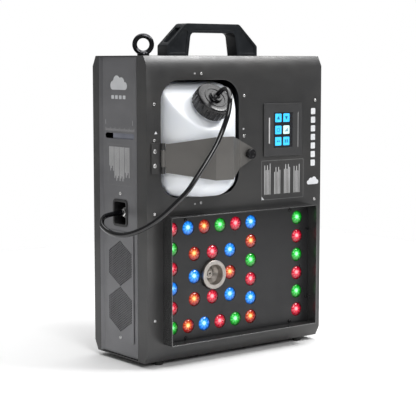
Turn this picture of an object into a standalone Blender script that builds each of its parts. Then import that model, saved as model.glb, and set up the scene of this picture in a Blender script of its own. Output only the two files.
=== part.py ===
"""Upright fog machine with a bottle bay, a light field round its nozzle, a carry handle and a lifting eye.

World frame: metres, +Z up, the front faces -Y, and the origin is on the floor under the middle.
Most sizes are given from the body itself: across from its left side, behind its front plane and
down from its top, which at() turns into a world point.
"""

import math

import bmesh
import bpy
from mathutils import Matrix, Vector

# Body
WIDTH = 0.375
DEPTH = 0.154
HEIGHT = 0.495
SHEET = 0.0016
GAP = 0.0003
CHAMFER_RUN = 0.009
CHAMFER_RISE = 0.017
FRONT_WALL = 0.027  # depth of the front tray's side walls
REAR_START = 0.136  # where the rear tray begins
SIDE_RECESS = 0.004
SIDE_SLOPE = 0.006
FOOT_HEIGHT = 0.008
FOOT_RADIUS = 0.00775
FOOT_INSET_ACROSS = 0.036
FOOT_INSET_DEEP = 0.020
REAR_FOOT_DOWN = (0.040, 0.455)

# Bottle and its opening
OPENING = (0.028, 0.039, 0.189, 0.2285)  # across and down, low corner then high corner
OPENING_RADIUS = 0.035
BAY = (0.008, 0.035, 0.196, 0.229)
BAY_DEPTH = 0.097
BAY_SHEET = 0.0012
BOTTLE_ACROSS = 0.1086
BOTTLE_RADIUS = 0.075
BOTTLE_CENTRE_BEHIND = 0.030
BOTTLE_BACK = 0.092
BOTTLE_TOP = 0.042
BOTTLE_BOTTOM = 0.2275
BOTTLE_CORNER = 0.034  # round corners in the front view, which let it through the opening
BOTTLE_WALL = 0.0018
NECK_TILT = math.radians(40)
NECK_BEHIND = -0.0153
NECK_DOWN = 0.0853
NECK_RADIUS = 0.0245
NECK_LENGTH = 0.0265
CAP_RADIUS = 0.0305
CAP_LOW = 0.006
CAP_HIGH = 0.0298
CAP_RIBS = 24

# Strap across the bottle
HINGE_ACROSS = 0.029
HINGE_FORWARD = 0.0042
STRAP_MIDDLE = 0.163
STRAP_SHEET = 0.0012
STRAP_FOLDS = ((0.091, 0.062), (0.125, 0.0634))  # across, forward
STRAP_END = (0.189, 0.0012)
STRAP_TAB_END = 0.219
STRAP_NARROW = 0.0235  # half heights
STRAP_WIDE = 0.0345
KNOB_ACROSS = 0.209
KNOB_RADIUS = 0.00875
KNOB_STUB = 0.0025
KNUCKLE_RADIUS = 0.0037
PIN_RADIUS = 0.0015

# Hose and its inlet in the left side
HOSE_RADIUS = 0.004
INLET_BEHIND = 0.0805
INLET_DOWN = 0.256
INLET_HALF = (0.0177, 0.0197)
INLET_DEPTH = 0.028
COUPLING_DOWN = 0.2560

# Light field
HOOD = (0.031, 0.2565, 0.3456, 0.466)
HOOD_DEPTH = 0.024
HOOD_SHEET = 0.0015
WINDOW_INSET = 0.005
LENS_RADIUS = 0.0114
LENS_HOLE = 0.0118
LED_COLUMNS = (0.0477, 0.2140)
LED_ROWS = (0.2790, 0.4410)
LEDS_A_SIDE = 6
LED_RING_PITCH = 0.0376
LED_RIGHT_COLUMN = 0.3184
NOZZLE = (0.1312, 0.3600)  # across, down
NOZZLE_HOLE = 0.0247

# Pump: its coil's left end, as across, behind and down
PUMP_SEAT = (0.238, 0.062, 0.430)

# Display
BEZEL = (0.242, 0.080, 0.328, 0.170)
SCREEN = (0.264, 0.096, 0.306, 0.156)

# Handle and lifting eye on the top
HANDLE_LENGTH = 0.194
HANDLE_HEIGHT = 0.054
HANDLE_THICKNESS = 0.027
EYE_ACROSS = 0.052
EYE_RING = 0.014
EYE_WIRE = 0.004
EYE_TURN = math.radians(-32)

# Left side cover and fans
COVER = (0.0425, 0.2865, 0.1190, 0.470)  # behind, down
COVER_SCREWS = (0.2925, 0.4635)
LEVEL_SLOT = (0.0397, 0.1255, 0.1236, 0.1345)
FAN_DOWN = (0.340, 0.416)
FAN_BEHIND = 0.0805
FAN_HALF = 0.030
FAN_ACROSS = (0.0065, 0.0315)
FAN_BORE = 0.028
FAN_BLADES = 7

# Right side fittings: distance down of each, all centred in the recess
SIDE_MIDDLE = 0.0815
DATA_SOCKETS = {"data_socket_in": 0.200, "data_socket_out": 0.240}
SWITCH_DOWN = 0.288
INLET_POWER_DOWN = 0.335
FUSE_DOWN = 0.375

# The strap is the furthest stiff piece to the front, and the rear feet the furthest back
FRONT_REACH = STRAP_FOLDS[1][1] + STRAP_SHEET / 2
FRONT_Y = FRONT_REACH - (FRONT_REACH + DEPTH + FOOT_HEIGHT) / 2
TOP_Z = HEIGHT + FOOT_HEIGHT
FORWARD = Vector((0, -1, 0))
BACKWARD = Vector((0, 1, 0))
LEFT = Vector((-1, 0, 0))
RIGHT = Vector((1, 0, 0))
UP = Vector((0, 0, 1))

# colour, roughness, metallic
LOOKS = {
    "body": ((0.074, 0.074, 0.078), 0.45, 0.3),
    "plate": ((0.055, 0.055, 0.058), 0.40, 0.3),
    "black": ((0.010, 0.010, 0.011), 0.45, 0.0),
    "rubber": ((0.012, 0.012, 0.012), 0.80, 0.0),
    "hose": ((0.008, 0.008, 0.009), 0.15, 0.0),
    "bottle": ((0.80, 0.82, 0.85), 0.35, 0.0),
    "steel": ((0.60, 0.60, 0.60), 0.30, 1.0),
    "dark_steel": ((0.10, 0.10, 0.11), 0.25, 1.0),
    "nozzle": ((0.42, 0.39, 0.34), 0.35, 0.9),
    "lens": ((0.70, 0.75, 0.80), 0.10, 0.0),
    "glass": ((0.02, 0.02, 0.025), 0.05, 0.0),
    "board": ((0.02, 0.12, 0.05), 0.50, 0.0),
    "brass": ((0.55, 0.42, 0.18), 0.30, 1.0),
    "insulation": ((0.55, 0.55, 0.52), 0.90, 0.0),
}


# ---------------------------------------------------------------- places and outlines


def at(across, behind, down):
    """World point from the distances to the body's left side, front plane and top."""
    return Vector((across - WIDTH / 2, FRONT_Y + behind, TOP_Z - down))


def rectangle(low_u, low_v, high_u, high_v, radius=0.0, steps=4):
    """Rectangle with round corners, as a closed list of points."""
    corners = [(low_u, low_v), (high_u, low_v), (high_u, high_v), (low_u, high_v)]
    return rounded([(u, v, radius) for u, v in corners], steps)


def circle(u, v, radius, steps=24):
    turns = [2 * math.pi * i / steps for i in range(steps)]
    return [(u + radius * math.cos(a), v + radius * math.sin(a)) for a in turns]


def rounded(corners, steps=4):
    """Closed outline through corners of (u, v, radius), each corner turned into an arc."""
    points = []
    for i, (u, v, radius) in enumerate(corners):
        corner = Vector((u, v))
        before = (Vector(corners[i - 1][:2]) - corner).normalized()
        after = (Vector(corners[(i + 1) % len(corners)][:2]) - corner).normalized()
        if radius <= 0:
            points.append((u, v))
            continue
        half = before.angle(after) / 2
        middle = corner + (before + after).normalized() * (radius / math.sin(half))
        start = corner + before * (radius / math.tan(half)) - middle
        end = corner + after * (radius / math.tan(half)) - middle
        for step in range(steps + 1):
            spoke = start.slerp(end, step / steps).normalized()
            points.append(tuple(middle + spoke * radius))
    return points


def smooth_route(route, spacing):
    """Evenly spaced points on a smooth curve through the route's points."""
    points = [Vector(p) for p in route]
    ends = [2 * points[0] - points[1], *points, 2 * points[-1] - points[-2]]
    fine = []
    for p0, p1, p2, p3 in zip(ends, ends[1:], ends[2:], ends[3:]):
        for step in range(20):
            t = step / 20
            fine.append(0.5 * (2 * p1 + (p2 - p0) * t + (2 * p0 - 5 * p1 + 4 * p2 - p3) * t**2
                               + (3 * p1 - p0 - 3 * p2 + p3) * t**3))
    fine.append(points[-1])
    lengths = [0.0]
    for a, b in zip(fine, fine[1:]):
        lengths.append(lengths[-1] + (b - a).length)
    count = max(2, round(lengths[-1] / spacing))
    result = []
    i = 0
    for step in range(count + 1):
        wanted = lengths[-1] * step / count
        while i < len(fine) - 2 and lengths[i + 1] < wanted:
            i += 1
        share = (wanted - lengths[i]) / max(lengths[i + 1] - lengths[i], 1e-9)
        result.append(fine[i].lerp(fine[i + 1], min(share, 1.0)))
    return result


# ---------------------------------------------------------------- making and joining solids


def material_for(name, look):
    colour, roughness, metallic = LOOKS[look]
    material = bpy.data.materials.new(name)
    material.use_nodes = True
    shader = material.node_tree.nodes["Principled BSDF"]
    shader.inputs["Base Color"].default_value = (*colour, 1)
    shader.inputs["Roughness"].default_value = roughness
    shader.inputs["Metallic"].default_value = metallic
    return material


def keep(obj, look):
    """Puts a finished piece in the machine's collection, with its own material."""
    obj.data.materials.clear()
    obj.data.materials.append(material_for(obj.name, look))
    bpy.data.collections["fog_machine"].objects.link(obj)
    return obj


def cube(name, size):
    """Box of the given sizes along X, Y and Z, round its own origin."""
    bm = bmesh.new()
    bmesh.ops.create_cube(bm, size=1.0)
    bmesh.ops.scale(bm, vec=size, verts=bm.verts)
    mesh = bpy.data.meshes.new(name)
    bm.to_mesh(mesh)
    bm.free()
    return bpy.data.objects.new(name, mesh)


def block(name, low, high, bevel=0.0):
    """Box between two corners, each given as across, behind and down."""
    a, b = at(*low), at(*high)
    obj = cube(name, [abs(q - p) for p, q in zip(a, b)])
    obj.location = (a + b) / 2
    if bevel:
        add_bevel(obj, bevel)
    return obj


def add_bevel(obj, width, segments=2):
    bevel = obj.modifiers.new("edges", "BEVEL")
    bevel.width = width
    bevel.segments = segments
    bevel.limit_method = "ANGLE"
    bevel.angle_limit = math.radians(40)


def solid_of(curve):
    """The closed mesh object that a curve object makes, with its caps welded; the curve is removed."""
    bpy.context.scene.collection.objects.link(curve)
    bpy.context.view_layer.update()
    graph = bpy.context.evaluated_depsgraph_get()
    mesh = bpy.data.meshes.new_from_object(curve.evaluated_get(graph))
    bm = bmesh.new()
    bm.from_mesh(mesh)
    bmesh.ops.remove_doubles(bm, verts=bm.verts, dist=1e-6)
    bmesh.ops.recalc_face_normals(bm, faces=bm.faces)
    bm.to_mesh(mesh)
    bm.free()
    name = curve.name
    matrix = curve.matrix_world.copy()
    bpy.data.objects.remove(curve)
    obj = bpy.data.objects.new(name, mesh)
    obj.matrix_world = matrix
    return obj


def plate(name, outlines, start, end, facing):
    """Flat outline with its holes, extruded between two places.

    facing "Y": points are (across, down), from start to end behind the front plane.
    facing "X": points are (behind, down), from start to end across.
    facing "Z": points are (across, behind), from start to end down.
    """
    curve = bpy.data.curves.new(name, "CURVE")
    curve.dimensions = "2D"
    curve.fill_mode = "BOTH"
    curve.extrude = abs(end - start) / 2
    middle = (start + end) / 2
    if facing == "Y":
        origin, axes = at(0, middle, 0), (RIGHT, UP, FORWARD)
        signs = (1, -1)
    elif facing == "X":
        origin, axes = at(middle, 0, 0), (BACKWARD, UP, RIGHT)
        signs = (1, -1)
    else:
        origin, axes = at(0, 0, middle), (RIGHT, BACKWARD, UP)
        signs = (1, 1)
    for outline in outlines:
        spline = curve.splines.new("POLY")
        spline.points.add(len(outline) - 1)
        spline.use_cyclic_u = True
        for point, (u, v) in zip(spline.points, outline):
            point.co = (signs[0] * u, signs[1] * v, 0, 1)
    obj = bpy.data.objects.new(name, curve)
    rotation = Matrix(axes).transposed().to_4x4()
    obj.matrix_world = Matrix.Translation(origin) @ rotation
    return solid_of(obj)


def turned(name, profile, origin, axis, steps=20, ring=False):
    """Profile of (radius, height along the axis), running down its outer side, turned a full round."""
    mesh = bpy.data.meshes.new(name)
    count = len(profile)
    edges = [(i, i + 1) for i in range(count - 1)]
    if ring:
        edges.append((count - 1, 0))
    mesh.from_pydata([(radius, 0, height) for radius, height in profile], edges, [])
    obj = bpy.data.objects.new(name, mesh)
    obj.rotation_mode = "QUATERNION"
    obj.rotation_quaternion = axis.to_track_quat("Z", "Y")
    obj.location = origin
    screw = obj.modifiers.new("turned", "SCREW")
    screw.steps = screw.render_steps = steps
    screw.use_merge_vertices = True
    screw.merge_threshold = 1e-5
    screw.use_smooth_shade = True
    return obj


def rod(name, origin, axis, radius, low, high, steps=20):
    return turned(name, [(0, high), (radius, high), (radius, low), (0, low)], origin, axis, steps)


def tube(name, points, radius, resolution=2):
    """Round tube with filled caps along the points."""
    curve = bpy.data.curves.new(name, "CURVE")
    curve.dimensions = "3D"
    curve.bevel_depth = radius
    curve.bevel_resolution = resolution
    curve.use_fill_caps = True
    spline = curve.splines.new("POLY")
    spline.points.add(len(points) - 1)
    for point, place in zip(spline.points, points):
        point.co = (*place, 1)
    return bpy.data.objects.new(name, curve)


def combine(obj, other, operation):
    """Boolean of two solids; the other one becomes a hidden cutter."""
    other.name = f"{obj.name}_{operation.lower()}_{len(obj.modifiers)}"
    other.hide_render = True
    other.display_type = "WIRE"
    bpy.data.collections["cutters"].objects.link(other)
    boolean = obj.modifiers.new(other.name, "BOOLEAN")
    boolean.operation = operation
    boolean.object = other
    return obj


def cut(obj, *others):
    for other in others:
        combine(obj, other, "DIFFERENCE")
    return obj


def join(obj, *others):
    for other in others:
        combine(obj, other, "UNION")
    return obj


def scattered(name, piece, placings):
    """One mesh holding the piece once at each placing, for use in a Boolean."""
    bpy.context.scene.collection.objects.link(piece)
    bpy.context.view_layer.update()
    graph = bpy.context.evaluated_depsgraph_get()
    mesh = bpy.data.meshes.new_from_object(piece.evaluated_get(graph))
    bpy.data.objects.remove(piece)
    bm = bmesh.new()
    for placing in placings:
        first = len(bm.verts)
        bm.from_mesh(mesh)
        bm.verts.ensure_lookup_table()
        bmesh.ops.transform(bm, matrix=placing, verts=bm.verts[first:])
    result = bpy.data.meshes.new(name)
    bm.to_mesh(result)
    bm.free()
    return bpy.data.objects.new(name, result)


# ---------------------------------------------------------------- body


def tray_outline(inset, depth, back):
    """Side view of a tray: its face, two chamfers and its lips, shrunk by the sheet's thickness."""
    slope = math.hypot(CHAMFER_RUN, CHAMFER_RISE)
    reach = (CHAMFER_RUN * CHAMFER_RISE + inset * slope) / CHAMFER_RISE  # where the chamfer meets down = 0
    rise = CHAMFER_RISE / CHAMFER_RUN
    chamfer = [(reach - inset / rise, inset), (inset, (reach - inset) * rise)]
    outline = [(depth, inset), *chamfer]
    outline += [(t, HEIGHT - z) for t, z in reversed(outline)]
    return [(DEPTH - t, z) for t, z in outline] if back else outline


def tray(name, depth, back=False):
    shell = plate(name, [tray_outline(0, depth, back)], 0, WIDTH, "X")
    hollow = plate("hollow", [tray_outline(SHEET, depth + SHEET, back)], SHEET, WIDTH - SHEET, "X")
    return cut(shell, hollow)


def make_front_shell():
    low_x, low_z, high_x, high_z = HOOD
    window = rectangle(low_x + WINDOW_INSET, low_z + WINDOW_INSET, high_x - WINDOW_INSET, high_z - WINDOW_INSET)
    openings = [
        rectangle(*OPENING, OPENING_RADIUS, 8),
        window,
        rectangle(SCREEN[0] - 0.002, SCREEN[1] - 0.002, SCREEN[2] + 0.002, SCREEN[3] + 0.002),
        circle(KNOB_ACROSS, STRAP_MIDDLE, KNOB_STUB + 0.0007, 16),
    ]
    shell = tray("front_shell", FRONT_WALL)
    for outline in openings:
        cut(shell, plate("opening", [outline], -0.002, 0.004, "Y"))
    keep(shell, "body")


def make_rear_shell():
    keep(tray("rear_shell", DEPTH - REAR_START, back=True), "body")


def side_panel(name, mirrored):
    """Recessed side panel with sloped flanks, between the two trays."""
    low, high = FRONT_WALL + GAP, REAR_START - GAP
    outer = [(0, low), (SIDE_RECESS, low + SIDE_SLOPE), (SIDE_RECESS, high - SIDE_SLOPE), (0, high)]
    outline = outer + [(x + SHEET, y) for x, y in reversed(outer)]
    if mirrored:
        outline = [(WIDTH - x, y) for x, y in outline]
    return plate(name, [outline], SHEET + GAP, HEIGHT - SHEET - GAP, "Z")


def side_hole(outline, across=0.0):
    return plate("hole", [outline], across - 0.001, across + 0.009, "X")


def inlet_outline(margin, radius):
    half_deep, half_tall = INLET_HALF[0] + margin, INLET_HALF[1] + margin
    return rectangle(INLET_BEHIND - half_deep, INLET_DOWN - half_tall,
                     INLET_BEHIND + half_deep, INLET_DOWN + half_tall, radius)


def make_left_side_panel():
    panel = side_panel("left_side_panel", False)
    service = rectangle(COVER[0] + 0.006, COVER[1] + 0.0155, COVER[2] - 0.006, COVER[3] - 0.012, 0.004)
    slot_radius = (LEVEL_SLOT[3] - LEVEL_SLOT[1]) / 2 - 0.0001
    cut(panel, side_hole(rectangle(*LEVEL_SLOT, slot_radius)), side_hole(service),
        side_hole(inlet_outline(0.001, 0.006)))
    keep(panel, "body")


def make_right_side_panel():
    panel = side_panel("right_side_panel", True)
    place = WIDTH - 0.008
    holes = [circle(SIDE_MIDDLE, down, 0.0123, 20) for down in DATA_SOCKETS.values()]
    holes.append(centred(SIDE_MIDDLE, SWITCH_DOWN, 0.0139, 0.0109))
    holes.append(centred(SIDE_MIDDLE, INLET_POWER_DOWN, 0.0142, 0.0107))
    holes.append(circle(SIDE_MIDDLE, FUSE_DOWN, 0.0065, 16))
    cut(panel, *[side_hole(outline, place) for outline in holes])
    keep(panel, "body")


def centred(u, v, half_u, half_v, radius=0.0):
    return rectangle(u - half_u, v - half_v, u + half_u, v + half_v, radius)


def make_top_and_bottom_panels():
    low, high = FRONT_WALL + GAP, REAR_START - GAP
    outline = rectangle(0, low, WIDTH, high)
    eye_hole = circle(EYE_ACROSS, SIDE_MIDDLE, 0.0044, 16)
    keep(plate("top_panel", [outline, eye_hole], 0, SHEET, "Z"), "body")
    keep(plate("bottom_panel", [outline], HEIGHT - SHEET, HEIGHT, "Z"), "body")


def make_feet():
    corners = [(a, b) for a in (FOOT_INSET_ACROSS, WIDTH - FOOT_INSET_ACROSS)
               for b in (FOOT_INSET_DEEP, DEPTH - FOOT_INSET_DEEP)]
    profile = [(0, -GAP), (FOOT_RADIUS, -GAP), (FOOT_RADIUS - 0.0008, -FOOT_HEIGHT + 0.001),
               (FOOT_RADIUS - 0.0018, -FOOT_HEIGHT), (0, -FOOT_HEIGHT)]
    for i, (across, behind) in enumerate(corners):
        keep(turned(f"foot_{i + 1}", profile, at(across, behind, HEIGHT), UP, 16), "rubber")
    i = 0
    for across in (FOOT_INSET_ACROSS, WIDTH - FOOT_INSET_ACROSS):
        for down in REAR_FOOT_DOWN:
            i += 1
            keep(turned(f"rear_foot_{i}", profile, at(across, DEPTH, down), FORWARD, 16), "rubber")


def make_carry_handle():
    """Arched bridge handle: two feet, slanted shoulders and a flat grip."""
    middle, half = WIDTH / 2, HANDLE_LENGTH / 2
    top, grip = -HANDLE_HEIGHT, -0.039
    left_half = [(middle - half, -GAP, 0), (middle - half, -0.017, 0.005), (middle - 0.057, top, 0.010)]
    inner_half = [(middle - 0.0475, grip, 0.009), (middle - 0.053, -GAP, 0)]

    def mirror(corners):
        return [(2 * middle - u, v, r) for u, v, r in reversed(corners)]

    outline = rounded(left_half + mirror(left_half) + mirror(inner_half) + inner_half)
    low = SIDE_MIDDLE - HANDLE_THICKNESS / 2
    handle = plate("carry_handle", [outline], low, low + HANDLE_THICKNESS, "Y")
    add_bevel(handle, 0.0025)
    keep(handle, "black")


def make_eye_bolt():
    """Lifting eye: a ring on a collar, with its shank through the top panel."""
    seat = at(EYE_ACROSS, SIDE_MIDDLE, 0)
    collar = turned("eye_bolt", [(0, 0.0070), (0.0075, 0.0070), (0.010, 0.0050), (0.010, GAP),
                                 (0.004, GAP), (0.004, -0.012), (0, -0.012)], seat, UP, 24)
    bpy.ops.mesh.primitive_torus_add(major_radius=EYE_RING, minor_radius=EYE_WIRE, major_segments=24,
                                     minor_segments=8, location=seat + UP * (EYE_RING + EYE_WIRE + 0.0005),
                                     rotation=(math.pi / 2, 0, EYE_TURN))
    ring = bpy.context.object
    for collection in list(ring.users_collection):
        collection.objects.unlink(ring)
    ring.data.shade_smooth()
    keep(join(collar, ring), "dark_steel")


# ---------------------------------------------------------------- bottle


def along_neck(height):
    """Point on the tilted neck's axis, measured from the bottle's slanted face."""
    return at(BOTTLE_ACROSS, NECK_BEHIND, NECK_DOWN) + neck_axis() * height


def neck_axis():
    return FORWARD * math.cos(NECK_TILT) + UP * math.sin(NECK_TILT)


def make_bottle_bay():
    low_x, low_z, high_x, high_z = BAY
    bay = block("bottle_bay", (low_x, SHEET + GAP, low_z), (high_x, BAY_DEPTH, high_z))
    cut(bay, block("hollow", (low_x + BAY_SHEET, 0, low_z + BAY_SHEET),
                   (high_x - BAY_SHEET, BAY_DEPTH - BAY_SHEET, high_z - BAY_SHEET)))
    slot = rectangle(LEVEL_SLOT[0] - 0.003, LEVEL_SLOT[1] - 0.002, BAY_DEPTH - 0.006, LEVEL_SLOT[3] + 0.002, 0.004)
    cut(bay, side_hole(slot, low_x - 0.001))
    keep(bay, "plate")


def bottle_body(name, inset):
    """D-shaped column trimmed by its side view, with a slanted shoulder for the neck."""
    radius = BOTTLE_RADIUS - inset
    back = BOTTLE_BACK - inset
    sweep = [math.pi * i / 20 for i in range(21)]
    plan = [(BOTTLE_ACROSS + radius * math.cos(a), BOTTLE_CENTRE_BEHIND - radius * math.sin(a)) for a in sweep]
    plan_corners = [(u, v, 0) for u, v in plan]
    plan_corners += [(BOTTLE_ACROSS - radius, back, 0.018), (BOTTLE_ACROSS + radius, back, 0.018)]
    column = plate(name, [rounded(plan_corners)], BOTTLE_TOP, BOTTLE_BOTTOM, "Z")
    front = BOTTLE_CENTRE_BEHIND - radius
    slant = Vector((-math.sin(NECK_TILT), math.cos(NECK_TILT)))  # along the slanted face, forward and down
    face = Vector((NECK_BEHIND, NECK_DOWN)) + Vector((math.cos(NECK_TILT), math.sin(NECK_TILT))) * inset
    top, bottom = BOTTLE_TOP + inset, BOTTLE_BOTTOM - inset
    upper = face + slant * ((top - face.y) / slant.y)
    lower = face + slant * ((front - face.x) / slant.x)
    side = rounded([(back, top, 0.020), (upper.x, top, 0.012), (lower.x, lower.y, 0.030),
                    (front, bottom, 0.016), (back, bottom, 0.014)], 5)
    combine(column, plate("side_view", [side], 0.02, 0.20, "X"), "INTERSECT")
    front_view = rectangle(BOTTLE_ACROSS - radius, top, BOTTLE_ACROSS + radius, bottom, BOTTLE_CORNER - inset, 6)
    return combine(column, plate("front_view", [front_view], -0.06, 0.10, "Y"), "INTERSECT")


def make_bottle():
    bottle = bottle_body("bottle", 0)
    neck = rod("neck", along_neck(0), neck_axis(), NECK_RADIUS, -0.004, NECK_LENGTH, 32)
    bore = rod("bore", along_neck(0), neck_axis(), NECK_RADIUS - BOTTLE_WALL, -0.012, NECK_LENGTH + 0.002, 32)
    join(bottle, neck)
    cut(bottle, bottle_body("inside", BOTTLE_WALL), bore)
    keep(bottle, "bottle")


def make_bottle_cap():
    """Ribbed screw cap, open below, with a hole for the fitting in its top."""
    inner = NECK_RADIUS + 0.0008
    profile = [(0.0065, CAP_HIGH), (CAP_RADIUS - 0.003, CAP_HIGH), (CAP_RADIUS, CAP_HIGH - 0.003),
               (CAP_RADIUS, CAP_LOW), (inner, CAP_LOW), (inner, CAP_HIGH - 0.0022), (0.0065, CAP_HIGH - 0.0022)]
    cap = turned("bottle_cap", profile, along_neck(0), neck_axis(), 36, ring=True)
    tall = CAP_HIGH - 0.003 - CAP_LOW - 0.001
    stand = Matrix.Translation((CAP_RADIUS - 0.0004, 0, CAP_LOW + 0.0005 + tall / 2))
    turns = [Matrix.Rotation(2 * math.pi * i / CAP_RIBS, 4, "Z") @ stand for i in range(CAP_RIBS)]
    ribs = scattered("ribs", cube("rib", (0.003, 0.0024, tall)), turns)
    ribs.matrix_world = Matrix.Translation(along_neck(0)) @ neck_axis().to_track_quat("Z", "Y").to_matrix().to_4x4()
    keep(join(cap, ribs), "black")


def make_cap_fitting():
    """Hose fitting through the cap: a flange and barb outside, a nut inside."""
    profile = [(0.0022, 0.0368), (0.0046, 0.0368), (0.0060, 0.0350), (0.0060, 0.0340), (0.0100, 0.0335),
               (0.0100, CAP_HIGH + GAP), (0.0060, CAP_HIGH + GAP), (0.0060, CAP_HIGH - 0.0025),
               (0.0100, CAP_HIGH - 0.0025), (0.0100, 0.0230), (0.0060, 0.0230), (0.0060, 0.0200), (0.0022, 0.0200)]
    keep(turned("cap_fitting", profile, along_neck(0), neck_axis(), 16, ring=True), "black")


def make_pickup_tube():
    places = [(-0.0020, 0.0920), (0.012, 0.105), (0.020, 0.130), (0.022, 0.170), (0.022, 0.216)]
    route = [along_neck(0.0195), along_neck(0.004)] + [at(BOTTLE_ACROSS, t, z) for t, z in places]
    keep(tube("pickup_tube", smooth_route(route, 0.012), 0.003), "bottle")


# ---------------------------------------------------------------- strap


def make_bottle_strap():
    """Bent strip from the hinge over the bottle to its tab, narrower at both ends."""
    hinge = Vector((HINGE_ACROSS, -HINGE_FORWARD))
    line = [hinge, *[Vector((a, -f)) for a, f in STRAP_FOLDS], Vector((STRAP_END[0], -STRAP_END[1])),
            Vector((STRAP_TAB_END, -STRAP_END[1]))]
    line[0] = hinge.lerp(line[1], 0.0026 / (line[1] - hinge).length)
    strip = plate("bottle_strap", [thickened(line, STRAP_SHEET)], STRAP_MIDDLE - STRAP_WIDE,
                  STRAP_MIDDLE + STRAP_WIDE, "Z")
    upper = [(0.020, -STRAP_NARROW), (0.036, -STRAP_NARROW), (STRAP_FOLDS[0][0], -STRAP_WIDE),
             (STRAP_FOLDS[1][0], -STRAP_WIDE), (STRAP_END[0], -STRAP_NARROW), (STRAP_TAB_END - 0.010, -0.0135),
             (STRAP_TAB_END - 0.0004, -0.008)]
    front_view = [(u, STRAP_MIDDLE + v) for u, v in upper] + [(u, STRAP_MIDDLE - v) for u, v in reversed(upper)]
    combine(strip, plate("front_view", [front_view], -0.08, 0.01, "Y"), "INTERSECT")
    cut(strip, rod("tab_hole", at(KNOB_ACROSS, 0, STRAP_MIDDLE), FORWARD, KNOB_STUB + 0.0007, -0.001, 0.006, 16))
    hinge_gap = KNUCKLE_RADIUS + 0.0008
    for sign in (-1, 1):
        middle = STRAP_MIDDLE + sign * 0.0192
        cut(strip, rod("knuckle_room", hinge_point(middle), UP, hinge_gap, -0.0056, 0.0056, 16))
    join(strip, rod("knuckle", hinge_point(STRAP_MIDDLE), UP, KNUCKLE_RADIUS, -0.0132, 0.0132, 20))
    cut(strip, rod("bore", hinge_point(STRAP_MIDDLE), UP, PIN_RADIUS + GAP, -0.04, 0.04, 20))
    keep(strip, "plate")


def hinge_point(down):
    return at(HINGE_ACROSS, -HINGE_FORWARD, down)


def thickened(line, thickness):
    """Closed outline of a strip of even thickness round an open line of points."""
    sides = [[], []]
    for i, point in enumerate(line):
        ways = []
        if i:
            ways.append((point - line[i - 1]).normalized())
        if i < len(line) - 1:
            ways.append((line[i + 1] - point).normalized())
        way = sum(ways, Vector((0, 0))).normalized()
        reach = thickness / 2 / max(way.dot(ways[0]), 0.3)
        normal = Vector((-way.y, way.x)) * reach
        sides[0].append(tuple(point + normal))
        sides[1].append(tuple(point - normal))
    return sides[0] + sides[1][::-1]


def make_strap_hinge():
    """Fixed leaf screwed to the front, with a knuckle above and below the strap's own, and their pin."""
    leaf = block("strap_hinge_leaf", (0.008, -0.0018, STRAP_MIDDLE - 0.0245),
                 (HINGE_ACROSS - 0.0005, -GAP, STRAP_MIDDLE + 0.0245))
    room = KNUCKLE_RADIUS + 0.0008
    cut(leaf, rod("strap_room", hinge_point(STRAP_MIDDLE), UP, room, -0.0137, 0.0137, 16))
    for sign in (-1, 1):
        join(leaf, rod("knuckle", hinge_point(STRAP_MIDDLE + sign * 0.0192), UP, KNUCKLE_RADIUS,
                       -0.0051, 0.0051, 20))
    cut(leaf, rod("bore", hinge_point(STRAP_MIDDLE), UP, PIN_RADIUS + GAP, -0.04, 0.04, 20))
    keep(leaf, "plate")
    keep(rod("strap_hinge_pin", hinge_point(STRAP_MIDDLE), UP, PIN_RADIUS, -0.0250, 0.0250, 16), "steel")


def make_strap_knob():
    front = STRAP_END[1] + STRAP_SHEET / 2 + GAP
    profile = [(0, front + 0.0095), (KNOB_RADIUS - 0.001, front + 0.0095), (KNOB_RADIUS, front + 0.0085),
               (KNOB_RADIUS, front + 0.0015), (KNOB_RADIUS - 0.001, front + 0.0005), (0.006, front),
               (KNOB_STUB, front), (KNOB_STUB, -0.0065), (0, -0.0065)]
    keep(turned("strap_knob", profile, at(KNOB_ACROSS, 0, STRAP_MIDDLE), FORWARD, 24), "black")


# ---------------------------------------------------------------- hose and inlet


def hose_route():
    """From the cap's fitting over the strap, round the front left corner and into the side inlet."""
    places = [(0.1080, -0.0540, 0.0555), (0.1050, -0.0675, 0.0525), (0.1000, -0.0820, 0.0565),
              (0.0935, -0.0935, 0.0685), (0.0860, -0.0980, 0.0905), (0.0760, -0.0965, 0.1160),
              (0.0625, -0.0965, 0.1400), (0.0460, -0.0960, 0.1625), (0.0295, -0.0940, 0.1845),
              (0.0135, -0.0900, 0.2065), (-0.0035, -0.0810, 0.2265), (-0.0185, -0.0680, 0.2455),
              (-0.0310, -0.0495, 0.2615), (-0.0415, -0.0265, 0.2735), (-0.0480, -0.0010, 0.2800),
              (-0.0520, 0.0270, 0.2785), (-0.0500, 0.0535, 0.2695), (-0.0330, 0.0740, 0.2600),
              (-0.0065, 0.0805, 0.2560), (0.0055, 0.0805, 0.2560)]
    return [along_neck(0.0378)] + [at(*place) for place in places]


def make_fluid_hose():
    keep(tube("fluid_hose", smooth_route(hose_route(), 0.011), HOSE_RADIUS), "hose")


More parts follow.
